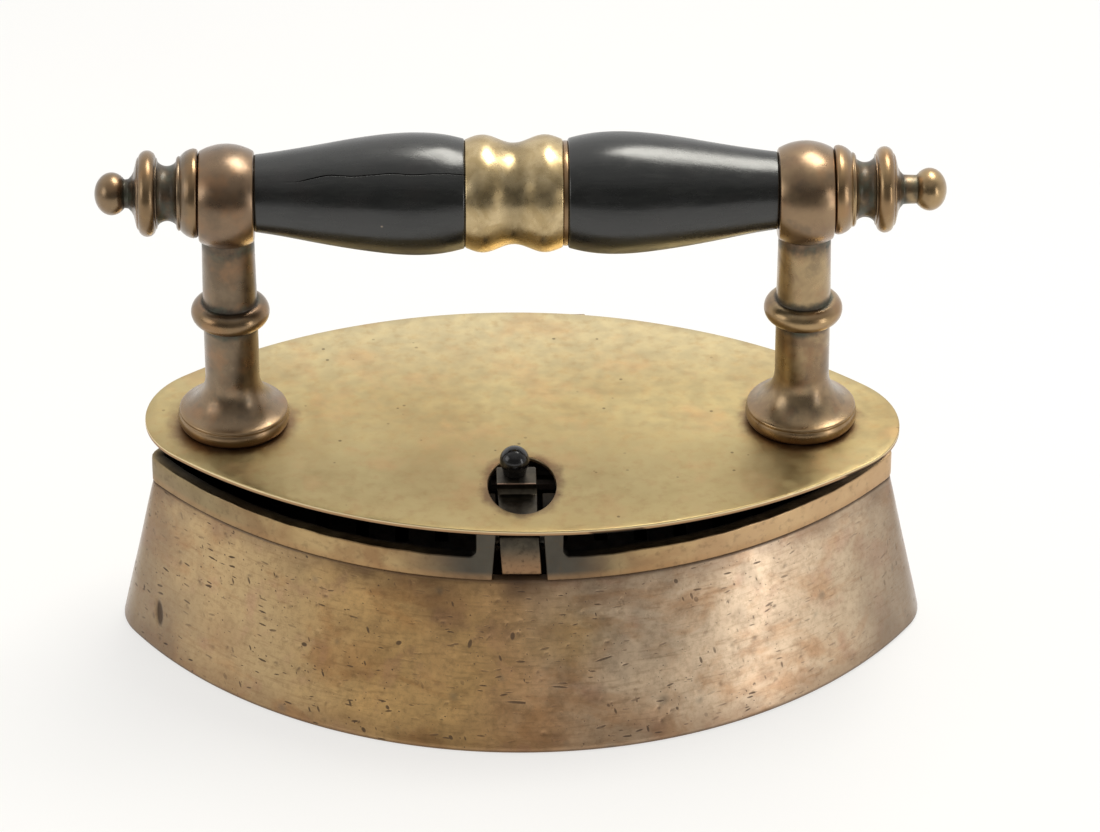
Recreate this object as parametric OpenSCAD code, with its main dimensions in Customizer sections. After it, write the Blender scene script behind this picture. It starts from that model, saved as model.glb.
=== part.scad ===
// Brass charcoal iron with a sole that is pointed at both ends.
//
// Millimetres. The origin is the centre of the sole's underside. +X runs along the iron
// towards its right-hand tip, +Y runs from the latch side to the hinge side, +Z is up.
// The body holds a fire grate. The cover carries the handle and swings up about a hinge
// pin on the +Y side. A sprung latch lever between two posts on the -Y side catches a
// staple under the cover.

/* [Body] */
// Length of the sole, tip to tip
sole_len = 192.4; // [170:0.2:200]
// Width of the sole across the middle
sole_w = 120.4; // [110:0.2:124]
// Rounding of the sole's two tips, seen from above
sole_tip_r = 15.8; // [12:0.2:20]
// Height of the sloping walls, sole to rim
body_h = 38.8; // [34:0.2:44]
// Thickness of the cast walls
wall_t = 3.2; // [2.6:0.1:3.8]
// Thickness of the sole inside the walls
sole_t = 9; // [7:0.5:10]

/* [Rim] */
// Length of the upright rim, tip to tip
rim_len = 176.4; // [168:0.2:180]
// Width of the rim across the middle
rim_w = 90.4; // [88:0.2:94]
// Rounding of the rim's tips
rim_tip_r = 4; // [3.9:0.1:6]
// Height of the upright rim
rim_h = 6.4; // [5:0.2:7.5]
// Air gap between the rim and the cover
air_gap = 8.4; // [7:0.1:9]

/* [Cover] */
// Length of the cover plate
cover_len = 179.2; // [174:0.2:184]
// Width of the cover plate
cover_w = 96.6; // [94:0.2:98]
// Rounding of the cover's tips
cover_tip_r = 23; // [18:0.5:26]
// Thickness of the cover plate
cover_t = 1.3; // [1:0.1:1.8]
// Angle by which the plate sits askew on the body
cover_skew = -2; // [-2:0.5:2]
// Length of the latch hole along X
latch_hole_x = 16; // [14:0.5:17]
// Length of the latch hole along Y
latch_hole_y = 24.4; // [22:0.2:25]

/* [Handle] */
// Distance between the two columns
column_pitch = 134.6; // [130:0.2:138]
// Height of the handle's axis above the cover
handle_rise = 62.7; // [58:0.1:68]
// Sideways offset of the handle from the body's centre
handle_shift = -1.1; // [-1.4:0.1:1]
// Largest radius of a grip
grip_r = 14.3; // [13:0.1:15]
// Radius of the rod that runs through the handle
rod_r = 3; // [2.5:0.1:3.2]

/* [Hidden] */
$fn = 64;

slip = 0.05;      // radial clearance of a running fit
snug = 0.02;      // radial clearance of a fixed fit
cut = 1;          // how far a cutting shape runs past a face

// Levels
rim_z = body_h;
rail_top_z = rim_z + rim_h;
cover_z = rail_top_z + air_gap;
cover_top_z = cover_z + cover_t;
axis_z = cover_top_z + handle_rise;

// Centre of the latch hole
latch_hole_place = [-0.5, -28.5];

// Body
edge_round = 1;   // height of the rounded lower edge
seam_step = 0.3;  // the body's top edge lies this far inside the rim
hollow_lean = [2, 4];  // how much further the hollow's floor steps in, along X and Y

// Fire grate
peg_h = 6;
peg_r = 3;
peg_x = 48;
peg_y = 20;
grate_half_len = 79;
grate_half_w = 44;
grate_tip_r = 8;
grate_t = 3;
grate_z = sole_t + peg_h;
grate_slots = 13;
grate_slot_w = 3.2;
grate_slot_pitch = 9.6;
grate_slot_y = 36;      // how far the longest slots reach from the middle
grate_slot_fade = 84;   // distance along X at which a slot would have no length
grate_rib = 3;          // half the width of the rib along the middle

// Latch posts and the bridge that ties them together inside the body
front_y = -rim_w / 2;
slot_x = -1.3;
slot_low_w = 12.9;
slot_high_w = 10.9;
post_reach = 10.2;  // from the slot's middle to a post's outer side
post_depth = 15;
post_back_y = front_y + post_depth;
bridge_t = 2;
bridge_front_y = front_y + 4;
bridge_back_y = -26;
corner_r = 1.8;

// Latch lever and its pivot
pivot_y = -33;
pivot_z = rim_z + 3.7;
pivot_r = 1.5;
lever_w = 9.3;
lever_x = -1.3;
ledge_z = cover_z - 0.9;
notch_z = cover_z + 1;
head_z = cover_top_z + 1;
head_front_y = -29.7;
nose_y = -22;
knob_r = 3.5;
knob_x = -1.7;
knob_y = -24.8;
knob_foot_r = 2.7;
knob_join = 30;
knob_stem_r = 1;
knob_stem_depth = 2;

// Staple under the cover that the lever's nose catches
staple_y = nose_y + 0.4;
staple_half_x = 9;
staple_t = 1.5;
staple_depth = 2;
staple_bar_z = cover_z - 4.7;

// Leaf spring
spring_t = 0.5;
spring_w = 7;
spring_rivet_y = -28.2;
spring_rivet_r = 1;
spring_bend_y = -36;
spring_tip_y = -41.4;
spring_lift = 0.65;  // how far the spring's tip rises

// Cover hinge
hinge_y = cover_w / 2 + 2.2;
knuckle_r = 2.4;
hinge_pin_r = 1.5;
leaf_w = 20;
leaf_t = 1.6;
leaf_front_y = 24;
lug_w = 6;
lug_gap = 0.3;
hinge_z = cover_z - leaf_t - knuckle_r + 0.4;
leaf_end_y = hinge_y - 1;
screw_r = 1.3;
screw_bite = 0.9;  // how deep the leaf's screws go into the cover plate
screw_x = 6;
screw_rows_y = [28, 40];
pin_head = 0.8;    // length of each of the hinge pin's heads

// Column
stud_r = 3;
foot_r = 13.2;
foot_h = 4.1;
shaft_r = 6.4;
flare_h = 9;
bead_z = 30.7;
bead_r = 2.9;
head_r = 11.4;
head_half = 6.5;

// Heat shield and what hangs it from the columns
shield_t = 1;
shield_drop = 5.1;
shield_half_len = 76;
shield_half_w = 34;
shield_tip_r = 12;
latch_gap = [14, -13];  // half width and inner end of the shield's opening for the latch
leaf_gap = [18, 20];    // the same for the hinge leaf
spacer_r = 5;
nut_washer_r = 6.5;
shield_z = cover_z - shield_drop - shield_t;
washer_t = 0.8;
nut_h = 4;
nut_flats = 10;

// Handle
column_x = [handle_shift - column_pitch / 2, handle_shift + column_pitch / 2];
inner_left_x = column_x[0] + head_half;
inner_right_x = column_x[1] - head_half;
ferrule_len = 22.8;
ferrule_waist_r = 11.85;
ferrule_bead_r = 13.7;
ferrule_bead_x = 7.2;
end_washer_t = 1.2;
end_washer_r = 12.3;
grip_len = (inner_right_x - inner_left_x - ferrule_len - end_washer_t) / 2;
ferrule_x = inner_left_x + grip_len;
end_washer_x = ferrule_x + ferrule_len;
grip_outer_r = 9;
grip_inner_r = 12.8;

// Finials: the left one has a short neck, and the right one ends level with it
finial_body = 15.7;
ball_half = 4;
ball_r = 5;
neck_r = 3.5;
ball_bury = 3;
left_neck = 1.4;
left_end_x = column_x[0] - head_half - finial_body - left_neck - ball_bury - ball_half;
right_neck = -left_end_x - column_x[1] - head_half - finial_body - ball_bury - ball_half;
finial_bore = 9;

// Points along a circular arc, leaving out the last one so that arcs can be chained
function arc(cx, cy, r, from, to, n) =
    [for (i = [0 : n - 1]) let (a = from + (to - from) * i / n) [cx + r * cos(a), cy + r * sin(a)]];

// Outline of two shallow arcs that meet in rounded tips at either end of X
function pointed_oval(half_len, half_w, tip_r) =
    let (tip_x = half_len - tip_r,
         side_r = (half_w * half_w + tip_x * tip_x - tip_r * tip_r) / (2 * (half_w - tip_r)),
         side_y = side_r - half_w,
         join = atan2(side_y, tip_x))
    concat(arc(0, side_y, side_r, 180 + join, 360 - join, 48),
           arc(tip_x, 0, tip_r, -join, join, 10),
           arc(0, -side_y, side_r, join, 180 - join, 48),
           arc(-tip_x, 0, tip_r, 180 - join, 180 + join, 10));

function ellipse(half_x, half_y, n) =
    [for (i = [0 : n - 1]) [half_x * cos(360 * i / n), half_y * sin(360 * i / n)]];

// Point at t on a cubic Bezier curve
function bezier(p, t) =
    pow(1 - t, 3) * p[0] + 3 * pow(1 - t, 2) * t * p[1] + 3 * (1 - t) * t * t * p[2] + pow(t, 3) * p[3];

module slab(outline, z, h) {
    translate([0, 0, z])
        linear_extrude(h)
            polygon(outline);
}

// A profile in the Y-Z plane, swept along X from x to x + w
module sweep_x(x, w) {
    translate([x, 0, 0])
        rotate([90, 0, 90])
            linear_extrude(w)
                children();
}

// Cylinder along X between two places
module rod_x(x0, x1, y, z, r) {
    translate([x0, y, z])
        rotate([0, 90, 0])
            cylinder(r = r, h = x1 - x0);
}

// Turned piece about the handle's axis: profile points are [distance outwards, radius]
module turned_x(x, direction, profile) {
    translate([x, 0, axis_z])
        rotate([0, 90 * direction, 0])
            rotate_extrude()
                polygon([for (p = profile) [p[1], p[0]]]);
}

module block(low, high) {
    translate(low)
        cube(high - low);
}

module body_casting() {
    thin = 0.01;
    top_len = rim_len / 2 - seam_step;
    top_w = rim_w / 2 - seam_step;
    top_r = rim_tip_r - seam_step;
    color("#a98557")
    difference() {
        hull() {
            slab(pointed_oval(sole_len / 2 - edge_round, sole_w / 2 - edge_round,
                              sole_tip_r - edge_round), 0, thin);
            slab(pointed_oval(sole_len / 2, sole_w / 2, sole_tip_r), edge_round, thin);
            slab(pointed_oval(top_len, top_w, top_r), body_h - thin, thin);
        }
        hull() {
            slab(pointed_oval(sole_len / 2 - wall_t - hollow_lean.x,
                              sole_w / 2 - wall_t - hollow_lean.y,
                              sole_tip_r - wall_t), sole_t, thin);
            slab(pointed_oval(top_len - wall_t + seam_step, top_w - wall_t + seam_step,
                              top_r - wall_t + seam_step), body_h + thin, thin);
        }
    }
}

// A profile in the X-Z plane, swept along Y from y0 to y1
module sweep_y(y0, y1) {
    translate([0, y1, 0])
        rotate([90, 0, 0])
            linear_extrude(y1 - y0)
                children();
}

// Front view of both posts, with a rounded corner where each one meets the rail
module posts_face() {
    translate([slot_x - post_reach, rim_z])
        square([2 * post_reach, cover_z - rim_z]);
    for (side = [-1, 1])
        translate([slot_x + side * post_reach, rail_top_z])
            mirror([side < 0 ? 1 : 0, 0])
                difference() {
                    square(corner_r);
                    translate([corner_r, corner_r])
                        circle(corner_r);
                }
}

// Front view of the slot between the posts, which narrows towards the cover
module slot_face() {
    low = slot_low_w / 2;
    high = slot_high_w / 2;
    polygon([[slot_x - low, rim_z], [slot_x + low, rim_z],
             [slot_x + high, cover_z + cut], [slot_x - high, cover_z + cut]]);
}

// Fixed hinge knuckle, joined to the rim by a lug
module hinge_lug(x) {
    sweep_x(x, lug_w)
        hull() {
            translate([hinge_y, hinge_z])
                circle(knuckle_r);
            translate([rim_w / 2 - wall_t, rim_z])
                square([wall_t - 0.5, rim_h + 1]);
        }
}

module rim_frame() {
    outer = pointed_oval(rim_len / 2, rim_w / 2, rim_tip_r);
    inner = pointed_oval(rim_len / 2 - wall_t, rim_w / 2 - wall_t, rim_tip_r - wall_t);
    color("#8d7659")
    difference() {
        union() {
            difference() {
                union() {
                    difference() {
                        slab(outer, rim_z, rim_h);
                        slab(inner, rim_z - cut, rim_h + 2 * cut);
                    }
                    intersection() {
                        slab(outer, rim_z, cover_z - rim_z);
                        sweep_y(front_y - cut, front_y + wall_t)
                            posts_face();
                    }
                    intersection() {
                        slab(outer, rim_z, cover_z - rim_z);
                        block([slot_x - post_reach, front_y - cut, rim_z],
                              [slot_x + post_reach, post_back_y, cover_z]);
                    }
                }
                sweep_y(front_y - cut, post_back_y + cut)
                    slot_face();
            }
            block([slot_x - post_reach, bridge_front_y, rim_z - bridge_t],
                  [slot_x + post_reach, bridge_back_y, rim_z]);
            for (x = [-leaf_w / 2 - lug_gap - lug_w, leaf_w / 2 + lug_gap])
                hinge_lug(x);
        }
        rod_x(slot_x - post_reach - cut, slot_x + post_reach + cut, pivot_y, pivot_z, pivot_r + snug);
        rod_x(-leaf_w, leaf_w, hinge_y, hinge_z, hinge_pin_r + snug);
        translate([lever_x, spring_rivet_y, rim_z - bridge_t - cut])
            cylinder(r = spring_rivet_r + snug, h = bridge_t + 2 * cut);
    }
}

module fire_grate() {
    color("#3a3734")
    difference() {
        slab(pointed_oval(grate_half_len, grate_half_w, grate_tip_r), grate_z, grate_t);
        for (i = [0 : grate_slots - 1]) {
            x = (i - (grate_slots - 1) / 2) * grate_slot_pitch;
            half = grate_slot_y * (1 - pow(x / grate_slot_fade, 2));
            for (side = [-1, 1])
                block([x - grate_slot_w / 2, side > 0 ? grate_rib : -half, grate_z - cut],
                      [x + grate_slot_w / 2, side > 0 ? half : -grate_rib,
                       grate_z + grate_t + cut]);
        }
    }
}

module grate_pegs() {
    color("#3a3734")
    for (x = [-peg_x, peg_x], y = [-peg_y, peg_y])
        translate([x, y, sole_t])
            cylinder(r = peg_r, h = peg_h);
}

module leaf_screw_places() {
    for (x = [-screw_x, screw_x], y = screw_rows_y)
        translate([x, y, 0])
            children();
}

module column_places() {
    for (x = column_x)
        translate([x, 0, 0])
            children();
}

module cover_plate() {
    color("#b09a5e")
    difference() {
        rotate([0, 0, cover_skew])
            slab(pointed_oval(cover_len / 2, cover_w / 2, cover_tip_r), cover_z, cover_t);
        translate([latch_hole_place.x, latch_hole_place.y, 0])
            slab(ellipse(latch_hole_x / 2, latch_hole_y / 2, 72), cover_z - cut, cover_t + 2 * cut);
        column_places()
            translate([0, 0, cover_z - cut])
                cylinder(r = stud_r + snug, h = cover_t + 2 * cut);
        leaf_screw_places()
            translate([0, 0, cover_z - cut])
                cylinder(r = screw_r + snug, h = cut + screw_bite);
    }
}

module heat_shield() {
    color("#4b4743")
    difference() {
        slab(pointed_oval(shield_half_len, shield_half_w, shield_tip_r), shield_z, shield_t);
        block([-latch_gap.x, -shield_half_w - cut, shield_z - cut],
              [latch_gap.x, latch_gap.y, shield_z + shield_t + cut]);
        block([-leaf_gap.x, leaf_gap.y, shield_z - cut],
              [leaf_gap.x, shield_half_w + cut, shield_z + shield_t + cut]);
        column_places()
            translate([0, 0, shield_z - cut])
                cylinder(r = stud_r + snug, h = shield_t + 2 * cut);
    }
}

// Ring around a column's stud, with its lower face at z
module stud_ring(z, r, h) {
    column_places()
        translate([0, 0, z])
            difference() {
                cylinder(r = r, h = h);
                translate([0, 0, -cut])
                    cylinder(r = stud_r + snug, h = h + 2 * cut);
            }
}

module shield_spacers() {
    color("#5a554e")
    stud_ring(shield_z + shield_t, spacer_r, shield_drop);
}

module nut_washers() {
    color("#6a655c")
    stud_ring(shield_z - washer_t, nut_washer_r, washer_t);
}

module column_nuts() {
    color("#5a4d3c")
    column_places()
        translate([0, 0, shield_z - washer_t - nut_h])
            difference() {
                cylinder(r = nut_flats / 2 / cos(30), h = nut_h, $fn = 6);
                translate([0, 0, -cut])
                    cylinder(r = stud_r + snug, h = nut_h + 2 * cut);
            }
}

// Turned outline of a column's foot, shaft and bead: [radius, height above the cover]
function column_profile() =
    let (foot_side_r = 3.5,
         foot_mid = foot_h * 0.55,
         low = -asin(foot_mid / foot_side_r),
         high = asin((foot_h - foot_mid) / foot_side_r),
         foot_top_r = foot_r - foot_side_r + foot_side_r * cos(high),
         reach = foot_top_r - shaft_r,
         shaft_top = handle_rise - head_r * 0.7,
         flare_r = (reach * reach + flare_h * flare_h) / (2 * reach))
    concat([[0, 0]],
           arc(foot_r - foot_side_r, foot_mid, foot_side_r, low, high, 8),
           arc(shaft_r + flare_r, foot_h + flare_h, flare_r,
               180 + asin(flare_h / flare_r), 180, 12),
           arc(shaft_r, bead_z, bead_r, -90, 90, 14),
           [[shaft_r, bead_z + bead_r], [shaft_r, shaft_top], [0, shaft_top]]);

module column(x) {
    stud_len = cover_t + shield_drop + shield_t + washer_t + nut_h + 1;
    difference() {
        union() {
            translate([x, 0, cover_top_z])
                rotate_extrude()
                    polygon(column_profile());
            translate([x, 0, cover_top_z - stud_len])
                cylinder(r = stud_r, h = stud_len + 1);
            intersection() {
                translate([x, 0, axis_z])
                    sphere(head_r);
                block([x - head_half, -head_r, axis_z - head_r],
                      [x + head_half, head_r, axis_z + head_r]);
            }
        }
        rod_x(x - head_r, x + head_r, 0, axis_z, rod_r + snug);
    }
}

module column_left() {
    color("#7d5b3c") column(column_x[0]);
}

module column_right() {
    color("#7d5b3c") column(column_x[1]);
}

module handle_rod() {
    reach = finial_bore - 1;
    color("#6c6a67")
    rod_x(column_x[0] - head_half - reach, column_x[1] + head_half + reach, 0, axis_z, rod_r);
}

// Wooden grip swelling from its column towards the ferrule
module grip(x, direction) {
    curve = [[0, grip_inner_r], [grip_len * 0.29, grip_r + 2.4],
             [grip_len * 0.58, grip_r - 2.4], [grip_len, grip_outer_r]];
    steps = 28;
    color("#1d1b1a")
    turned_x(x, direction,
             concat([[0, rod_r + snug]],
                    [for (i = [0 : steps]) bezier(curve, i / steps)],
                    [[grip_len, rod_r + snug]]));
}

module grip_left() {
    grip(ferrule_x, -1);
}

module grip_right() {
    grip(end_washer_x + end_washer_t, 1);
}

module centre_ferrule() {
    steps = 32;
    mid_r = (ferrule_bead_r + ferrule_waist_r) / 2;
    swing = (ferrule_bead_r - ferrule_waist_r) / 2;
    color("#b08d45")
    turned_x(ferrule_x, 1,
             concat([[0, rod_r + snug]],
                    [for (i = [0 : steps])
                        let (u = ferrule_len * i / steps)
                        [u, mid_r - swing * cos(180 * (u - ferrule_len / 2) / ferrule_bead_x)]],
                    [[ferrule_len, rod_r + snug]]));
}

module grip_washer() {
    color("#6b5231")
    turned_x(end_washer_x, 1,
             [[0, rod_r + snug], [0, end_washer_r], [end_washer_t, end_washer_r],
              [end_washer_t, rod_r + snug]]);
}

// Turned finial that screws onto the rod's end: collar, cove, disc, neck and ball
module finial(x, direction, neck_len) {
    ball_x = finial_body + neck_len + ball_bury;
    bury_angle = acos(ball_bury / ball_half);
    color("#7d5b3c")
    turned_x(x, direction,
             concat([[finial_bore, 0], [finial_bore, rod_r + snug], [0, rod_r + snug]],
                    [[0, 10], [0.4, 10.4], [1.8, 10.4], [2.2, 9.9], [4.5, 8.7], [5, 7.6]],
                    arc(7.1, 10.6, 4.1, 220, 320, 10),
                    arc(11.8, 7.1, 3, 165, 5, 12),
                    [[15.1, 5.1], [finial_body - 0.2, neck_r + 0.3], [finial_body, neck_r],
                     [ball_x - ball_bury, neck_r]],
                    [for (a = [180 - bury_angle : -(180 - bury_angle) / 12 : 0.5])
                        [ball_x + ball_half * cos(a), ball_r * sin(a)]],
                    [[ball_x + ball_half, 0]]));
}

module finial_left() {
    finial(column_x[0] - head_half, -1, left_neck);
}

module finial_right() {
    finial(column_x[1] + head_half, 1, right_neck);
}

// Leaf under the cover with the middle knuckle of the hinge
module hinge_leaf() {
    color("#97804c")
    difference() {
        union() {
            block([-leaf_w / 2, leaf_front_y, cover_z - leaf_t],
                  [leaf_w / 2, leaf_end_y, cover_z]);
            rod_x(-leaf_w / 2, leaf_w / 2, hinge_y, hinge_z, knuckle_r);
        }
        rod_x(-leaf_w, leaf_w, hinge_y, hinge_z, hinge_pin_r + slip);
        leaf_screw_places()
            translate([0, 0, cover_z - leaf_t - cut])
                cylinder(r = screw_r + snug, h = leaf_t + 2 * cut);
    }
}

module hinge_pin() {
    half = leaf_w / 2 + lug_gap + lug_w;
    color("#6c6a67") {
        rod_x(-half - pin_head, half + pin_head, hinge_y, hinge_z, hinge_pin_r);
        for (x = [-half - pin_head, half])
            rod_x(x, x + pin_head, hinge_y, hinge_z, hinge_pin_r + 0.6);
    }
}

// Screws that hold the leaf from below and stop short of the cover's upper face
module leaf_screws() {
    head_h = 0.9;
    color("#6c6a67")
    leaf_screw_places() {
        translate([0, 0, cover_z - leaf_t])
            cylinder(r = screw_r, h = leaf_t + screw_bite);
        difference() {
            translate([0, 0, cover_z - leaf_t - head_h])
                cylinder(r = screw_r + 0.9, h = head_h);
            block([-screw_r - 1, -0.3, cover_z - leaf_t - head_h - cut],
                  [screw_r + 1, 0.3, cover_z - leaf_t - head_h / 2]);
        }
    }
}

module keeper_staple() {
    color("#5a4d3c") {
        block([-staple_half_x, staple_y, staple_bar_z],
              [staple_half_x, staple_y + staple_depth, staple_bar_z + staple_t]);
        for (x = [-staple_half_x, staple_half_x - staple_t])
            block([x, staple_y, staple_bar_z], [x + staple_t, staple_y + staple_depth, cover_z]);
    }
}

// Side view of the latch lever: [Y, Z]
function lever_outline() =
    concat([[-38.5, rim_z + 1.2], [-44.1, rim_z + 1.2]],
           arc(-26.5, rim_z + 6.2, 18.35, 195, 163, 10),
           [[-39.6, ledge_z], [-28.6, ledge_z], [-28.6, notch_z], [head_front_y, notch_z],
            [head_front_y, head_z - 0.3], [head_front_y + 0.3, head_z], [nose_y - 0.8, head_z],
            [nose_y - 0.3, head_z - 0.5], [nose_y - 0.3, cover_z], [nose_y, cover_z - 0.4],
            [nose_y, staple_bar_z + staple_t + 1.6], [-25.5, staple_bar_z + staple_t + 1.2]],
           arc(pivot_y, pivot_z, 3.1, 20, -90, 8),
           [[pivot_y, pivot_z - 2.8]]);

module latch_lever() {
    x = lever_x - lever_w / 2;
    color("#6b5a42")
    difference() {
        sweep_x(x, lever_w)
            polygon(lever_outline());
        rod_x(x - cut, x + lever_w + cut, pivot_y, pivot_z, pivot_r + slip);
        translate([knob_x, knob_y, head_z - knob_stem_depth])
            cylinder(r = knob_stem_r + snug, h = knob_stem_depth + cut);
    }
}

module latch_knob() {
    knob_z = head_z + knob_r - 0.1;
    knob_foot_h = knob_z - head_z - knob_r * sin(knob_join);
    color("#161514")
    translate([knob_x, knob_y, 0])
        difference() {
            union() {
                translate([0, 0, knob_z])
                    sphere(knob_r);
                translate([0, 0, head_z])
                    cylinder(r1 = knob_foot_r, r2 = knob_r * cos(knob_join), h = knob_foot_h);
                translate([0, 0, head_z - knob_stem_depth])
                    cylinder(r = knob_stem_r, h = knob_z - head_z + knob_stem_depth);
            }
            translate([0, 0, head_z - knob_stem_depth])
                difference() {
                    cylinder(r = knob_r, h = knob_stem_depth);
                    translate([0, 0, -cut])
                        cylinder(r = knob_stem_r, h = knob_stem_depth + 2 * cut);
                }
        }
}

module latch_pin() {
    color("#6c6a67")
    rod_x(slot_x - post_reach, slot_x + post_reach, pivot_y, pivot_z, pivot_r);
}

// Leaf spring on the bridge that lifts the lever's front and so tips its head back
module latch_spring() {
    spring_back_y = bridge_back_y - 0.4;
    color("#6c6a67")
    difference() {
        sweep_x(lever_x - spring_w / 2, spring_w)
            polygon([[spring_back_y, rim_z], [spring_bend_y, rim_z],
                     [spring_tip_y, rim_z + spring_lift],
                     [spring_tip_y, rim_z + spring_lift + spring_t],
                     [spring_bend_y, rim_z + spring_t], [spring_back_y, rim_z + spring_t]]);
        translate([lever_x, spring_rivet_y, rim_z - cut])
            cylinder(r = spring_rivet_r + snug, h = 2 * cut + spring_t);
    }
}

module spring_rivet() {
    head_h = 0.6;
    color("#6c6a67")
    translate([lever_x, spring_rivet_y, 0]) {
        translate([0, 0, rim_z - bridge_t])
            cylinder(r = spring_rivet_r, h = bridge_t + spring_t);
        for (z = [rim_z - bridge_t - head_h, rim_z + spring_t])
            translate([0, 0, z])
                cylinder(r = spring_rivet_r + 0.6, h = head_h);
    }
}

body_casting();
rim_frame();
fire_grate();
grate_pegs();
cover_plate();
heat_shield();
shield_spacers();
nut_washers();
column_nuts();
column_left();
column_right();
handle_rod();
grip_left();
grip_right();
centre_ferrule();
grip_washer();
finial_left();
finial_right();
hinge_leaf();
hinge_pin();
leaf_screws();
keeper_staple();
latch_lever();
latch_knob();
latch_pin();
latch_spring();
spring_rivet();
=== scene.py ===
"""Brass charcoal iron: fine meshes, aged-metal and ebonised-wood finishes, and a pale studio.

Lengths in this script are millimetres until a mesh is made, and places come from the CAD frame.
"""

import math
import random

import bmesh
import bpy
import numpy as np
from mathutils import Matrix, Vector, noise
from mathutils.geometry import delaunay_2d_cdt


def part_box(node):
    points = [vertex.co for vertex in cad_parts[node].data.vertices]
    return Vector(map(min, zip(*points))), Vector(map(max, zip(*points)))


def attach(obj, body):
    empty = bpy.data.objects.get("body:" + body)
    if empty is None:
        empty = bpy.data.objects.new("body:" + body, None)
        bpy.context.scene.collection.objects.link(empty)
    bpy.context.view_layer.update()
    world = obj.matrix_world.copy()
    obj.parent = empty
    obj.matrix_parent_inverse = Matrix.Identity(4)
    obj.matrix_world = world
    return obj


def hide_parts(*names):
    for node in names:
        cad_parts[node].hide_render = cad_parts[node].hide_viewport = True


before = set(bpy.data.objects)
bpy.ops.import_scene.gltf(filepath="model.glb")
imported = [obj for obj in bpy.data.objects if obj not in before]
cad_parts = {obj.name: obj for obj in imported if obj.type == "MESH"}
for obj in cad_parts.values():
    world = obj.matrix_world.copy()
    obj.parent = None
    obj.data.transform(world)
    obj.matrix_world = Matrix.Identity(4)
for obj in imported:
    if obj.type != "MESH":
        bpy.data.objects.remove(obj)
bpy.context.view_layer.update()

MM = 0.001
TAU = 2 * math.pi


# ---------------------------------------------------------------- places, in millimetres

def mm_box(node):
    """Lowest and highest corners of a CAD node."""
    low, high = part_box(node)
    return low / MM, high / MM


def centre_of(node):
    low, high = mm_box(node)
    return (low + high) / 2


BODY_HIGH = mm_box("body_casting")[1]
RIM_LOW, RIM_HIGH = mm_box("rim_frame")
COVER_LOW, COVER_HIGH = mm_box("cover_plate")
LEVER_LOW, LEVER_HIGH = mm_box("latch_lever")
PIN_LOW, PIN_HIGH = mm_box("latch_pin")
PIVOT = centre_of("latch_pin")
HINGE = centre_of("hinge_pin")
LEFT_COLUMN = centre_of("column_left")
RIGHT_COLUMN = centre_of("column_right")
AXIS_Z = centre_of("handle_rod").z

# Sizes that the boxes don't give, the same as in the CAD model
WALL = 3.2
SOLE = 9.0                                   # thickness of the sole
RAIL_H = 6.4
SOLE_SIZE = (BODY_HIGH.x, BODY_HIGH.y, 15.8)  # half length, half width and tip radius of an oval
RIM_SIZE = (RIM_HIGH.x, -RIM_LOW.y, 4.0)
COVER_SIZE = (89.6, 48.3, 23.0)
COVER_SKEW = math.radians(-2)
SEAM_STEP = 0.3                              # the body's top edge lies this far inside the rim
SLOT_X = PIVOT.x
SLOT_LOW = 6.45                              # half widths of the slot between the posts
SLOT_HIGH = 5.45
POST_REACH = (PIN_HIGH.x - PIN_LOW.x) / 2    # from the slot's middle to a post's outer side
POST_DEPTH = 15.0
HOLE_X, HOLE_Y = -0.5, -28.5                 # middle of the latch hole
HOLE_HALF_X, HOLE_HALF_Y = 8.0, 12.2
HEAD_FRONT_Y = -29.75                        # front face of the latch lever's head
KNOB_FOOT_R = 2.7
STUD_HOLE_R = 3.02
ROD_BORE_R = 3.03
PIN_BORE_R = 1.52
SCAR_RUN, SCAR_Z = 100, 9.5                  # scar on the body: back from the front's middle, and up

# How the handle has settled, and where its left grip has cracked
HANDLE_BOW = 0.5
HANDLE_LEAN = -0.5
CRACK_LIFT = math.radians(48)
CRACK_START, CRACK_END = -57, -8


# ---------------------------------------------------------------- outlines

def oval_shape(half_len, half_w, tip_r):
    """Side radius, side centre offset, tip centre and the normal's angle where side and tip meet."""
    tip_x = half_len - tip_r
    side_r = (half_w ** 2 + tip_x ** 2 - tip_r ** 2) / (2 * (half_w - tip_r))
    side_y = side_r - half_w
    return side_r, side_y, tip_x, math.atan2(side_y, tip_x)


def oval_points(size, angles):
    """Points of a pointed oval whose outward normals have these angles."""
    tip_r = size[2]
    side_r, side_y, tip_x, join = oval_shape(*size)
    a = (np.asarray(angles, float) + math.pi) % TAU - math.pi
    at_right, at_left = np.abs(a) <= join, np.abs(a) >= math.pi - join
    centre_x = np.where(at_right, tip_x, np.where(at_left, -tip_x, 0.0))
    centre_y = np.where(at_right | at_left, 0.0, np.where(a > 0, -side_y, side_y))
    r = np.where(at_right | at_left, tip_r, side_r)
    return np.stack([centre_x + r * np.cos(a), centre_y + r * np.sin(a)], 1)


def oval_run(size):
    """Distances along the outline from the middle of the front, and the normal's angle at each."""
    side_r, _, _, join = oval_shape(*size)
    tip_r = size[2]
    angles = np.array([-math.pi / 2, -join, join, math.pi - join, math.pi + join, 1.5 * math.pi])
    steps = np.diff(angles) * np.array([side_r, tip_r, side_r, tip_r, side_r])
    return np.concatenate([[0], np.cumsum(steps)]), angles


def even_angles(size, spacing):
    """Normal angles of points spread evenly along the outline."""
    run, angles = oval_run(size)
    count = int(run[-1] / spacing)
    return np.interp(np.arange(count) * run[-1] / count, run, angles)


def shrunk(size, by):
    return tuple(s - by for s in size)


def arc(cx, cy, r, start, end, count):
    """Points on a circle between two angles in degrees, with count steps."""
    a = np.radians(np.linspace(start, end, count + 1))
    return [(cx + r * math.cos(t), cy + r * math.sin(t)) for t in a]


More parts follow.
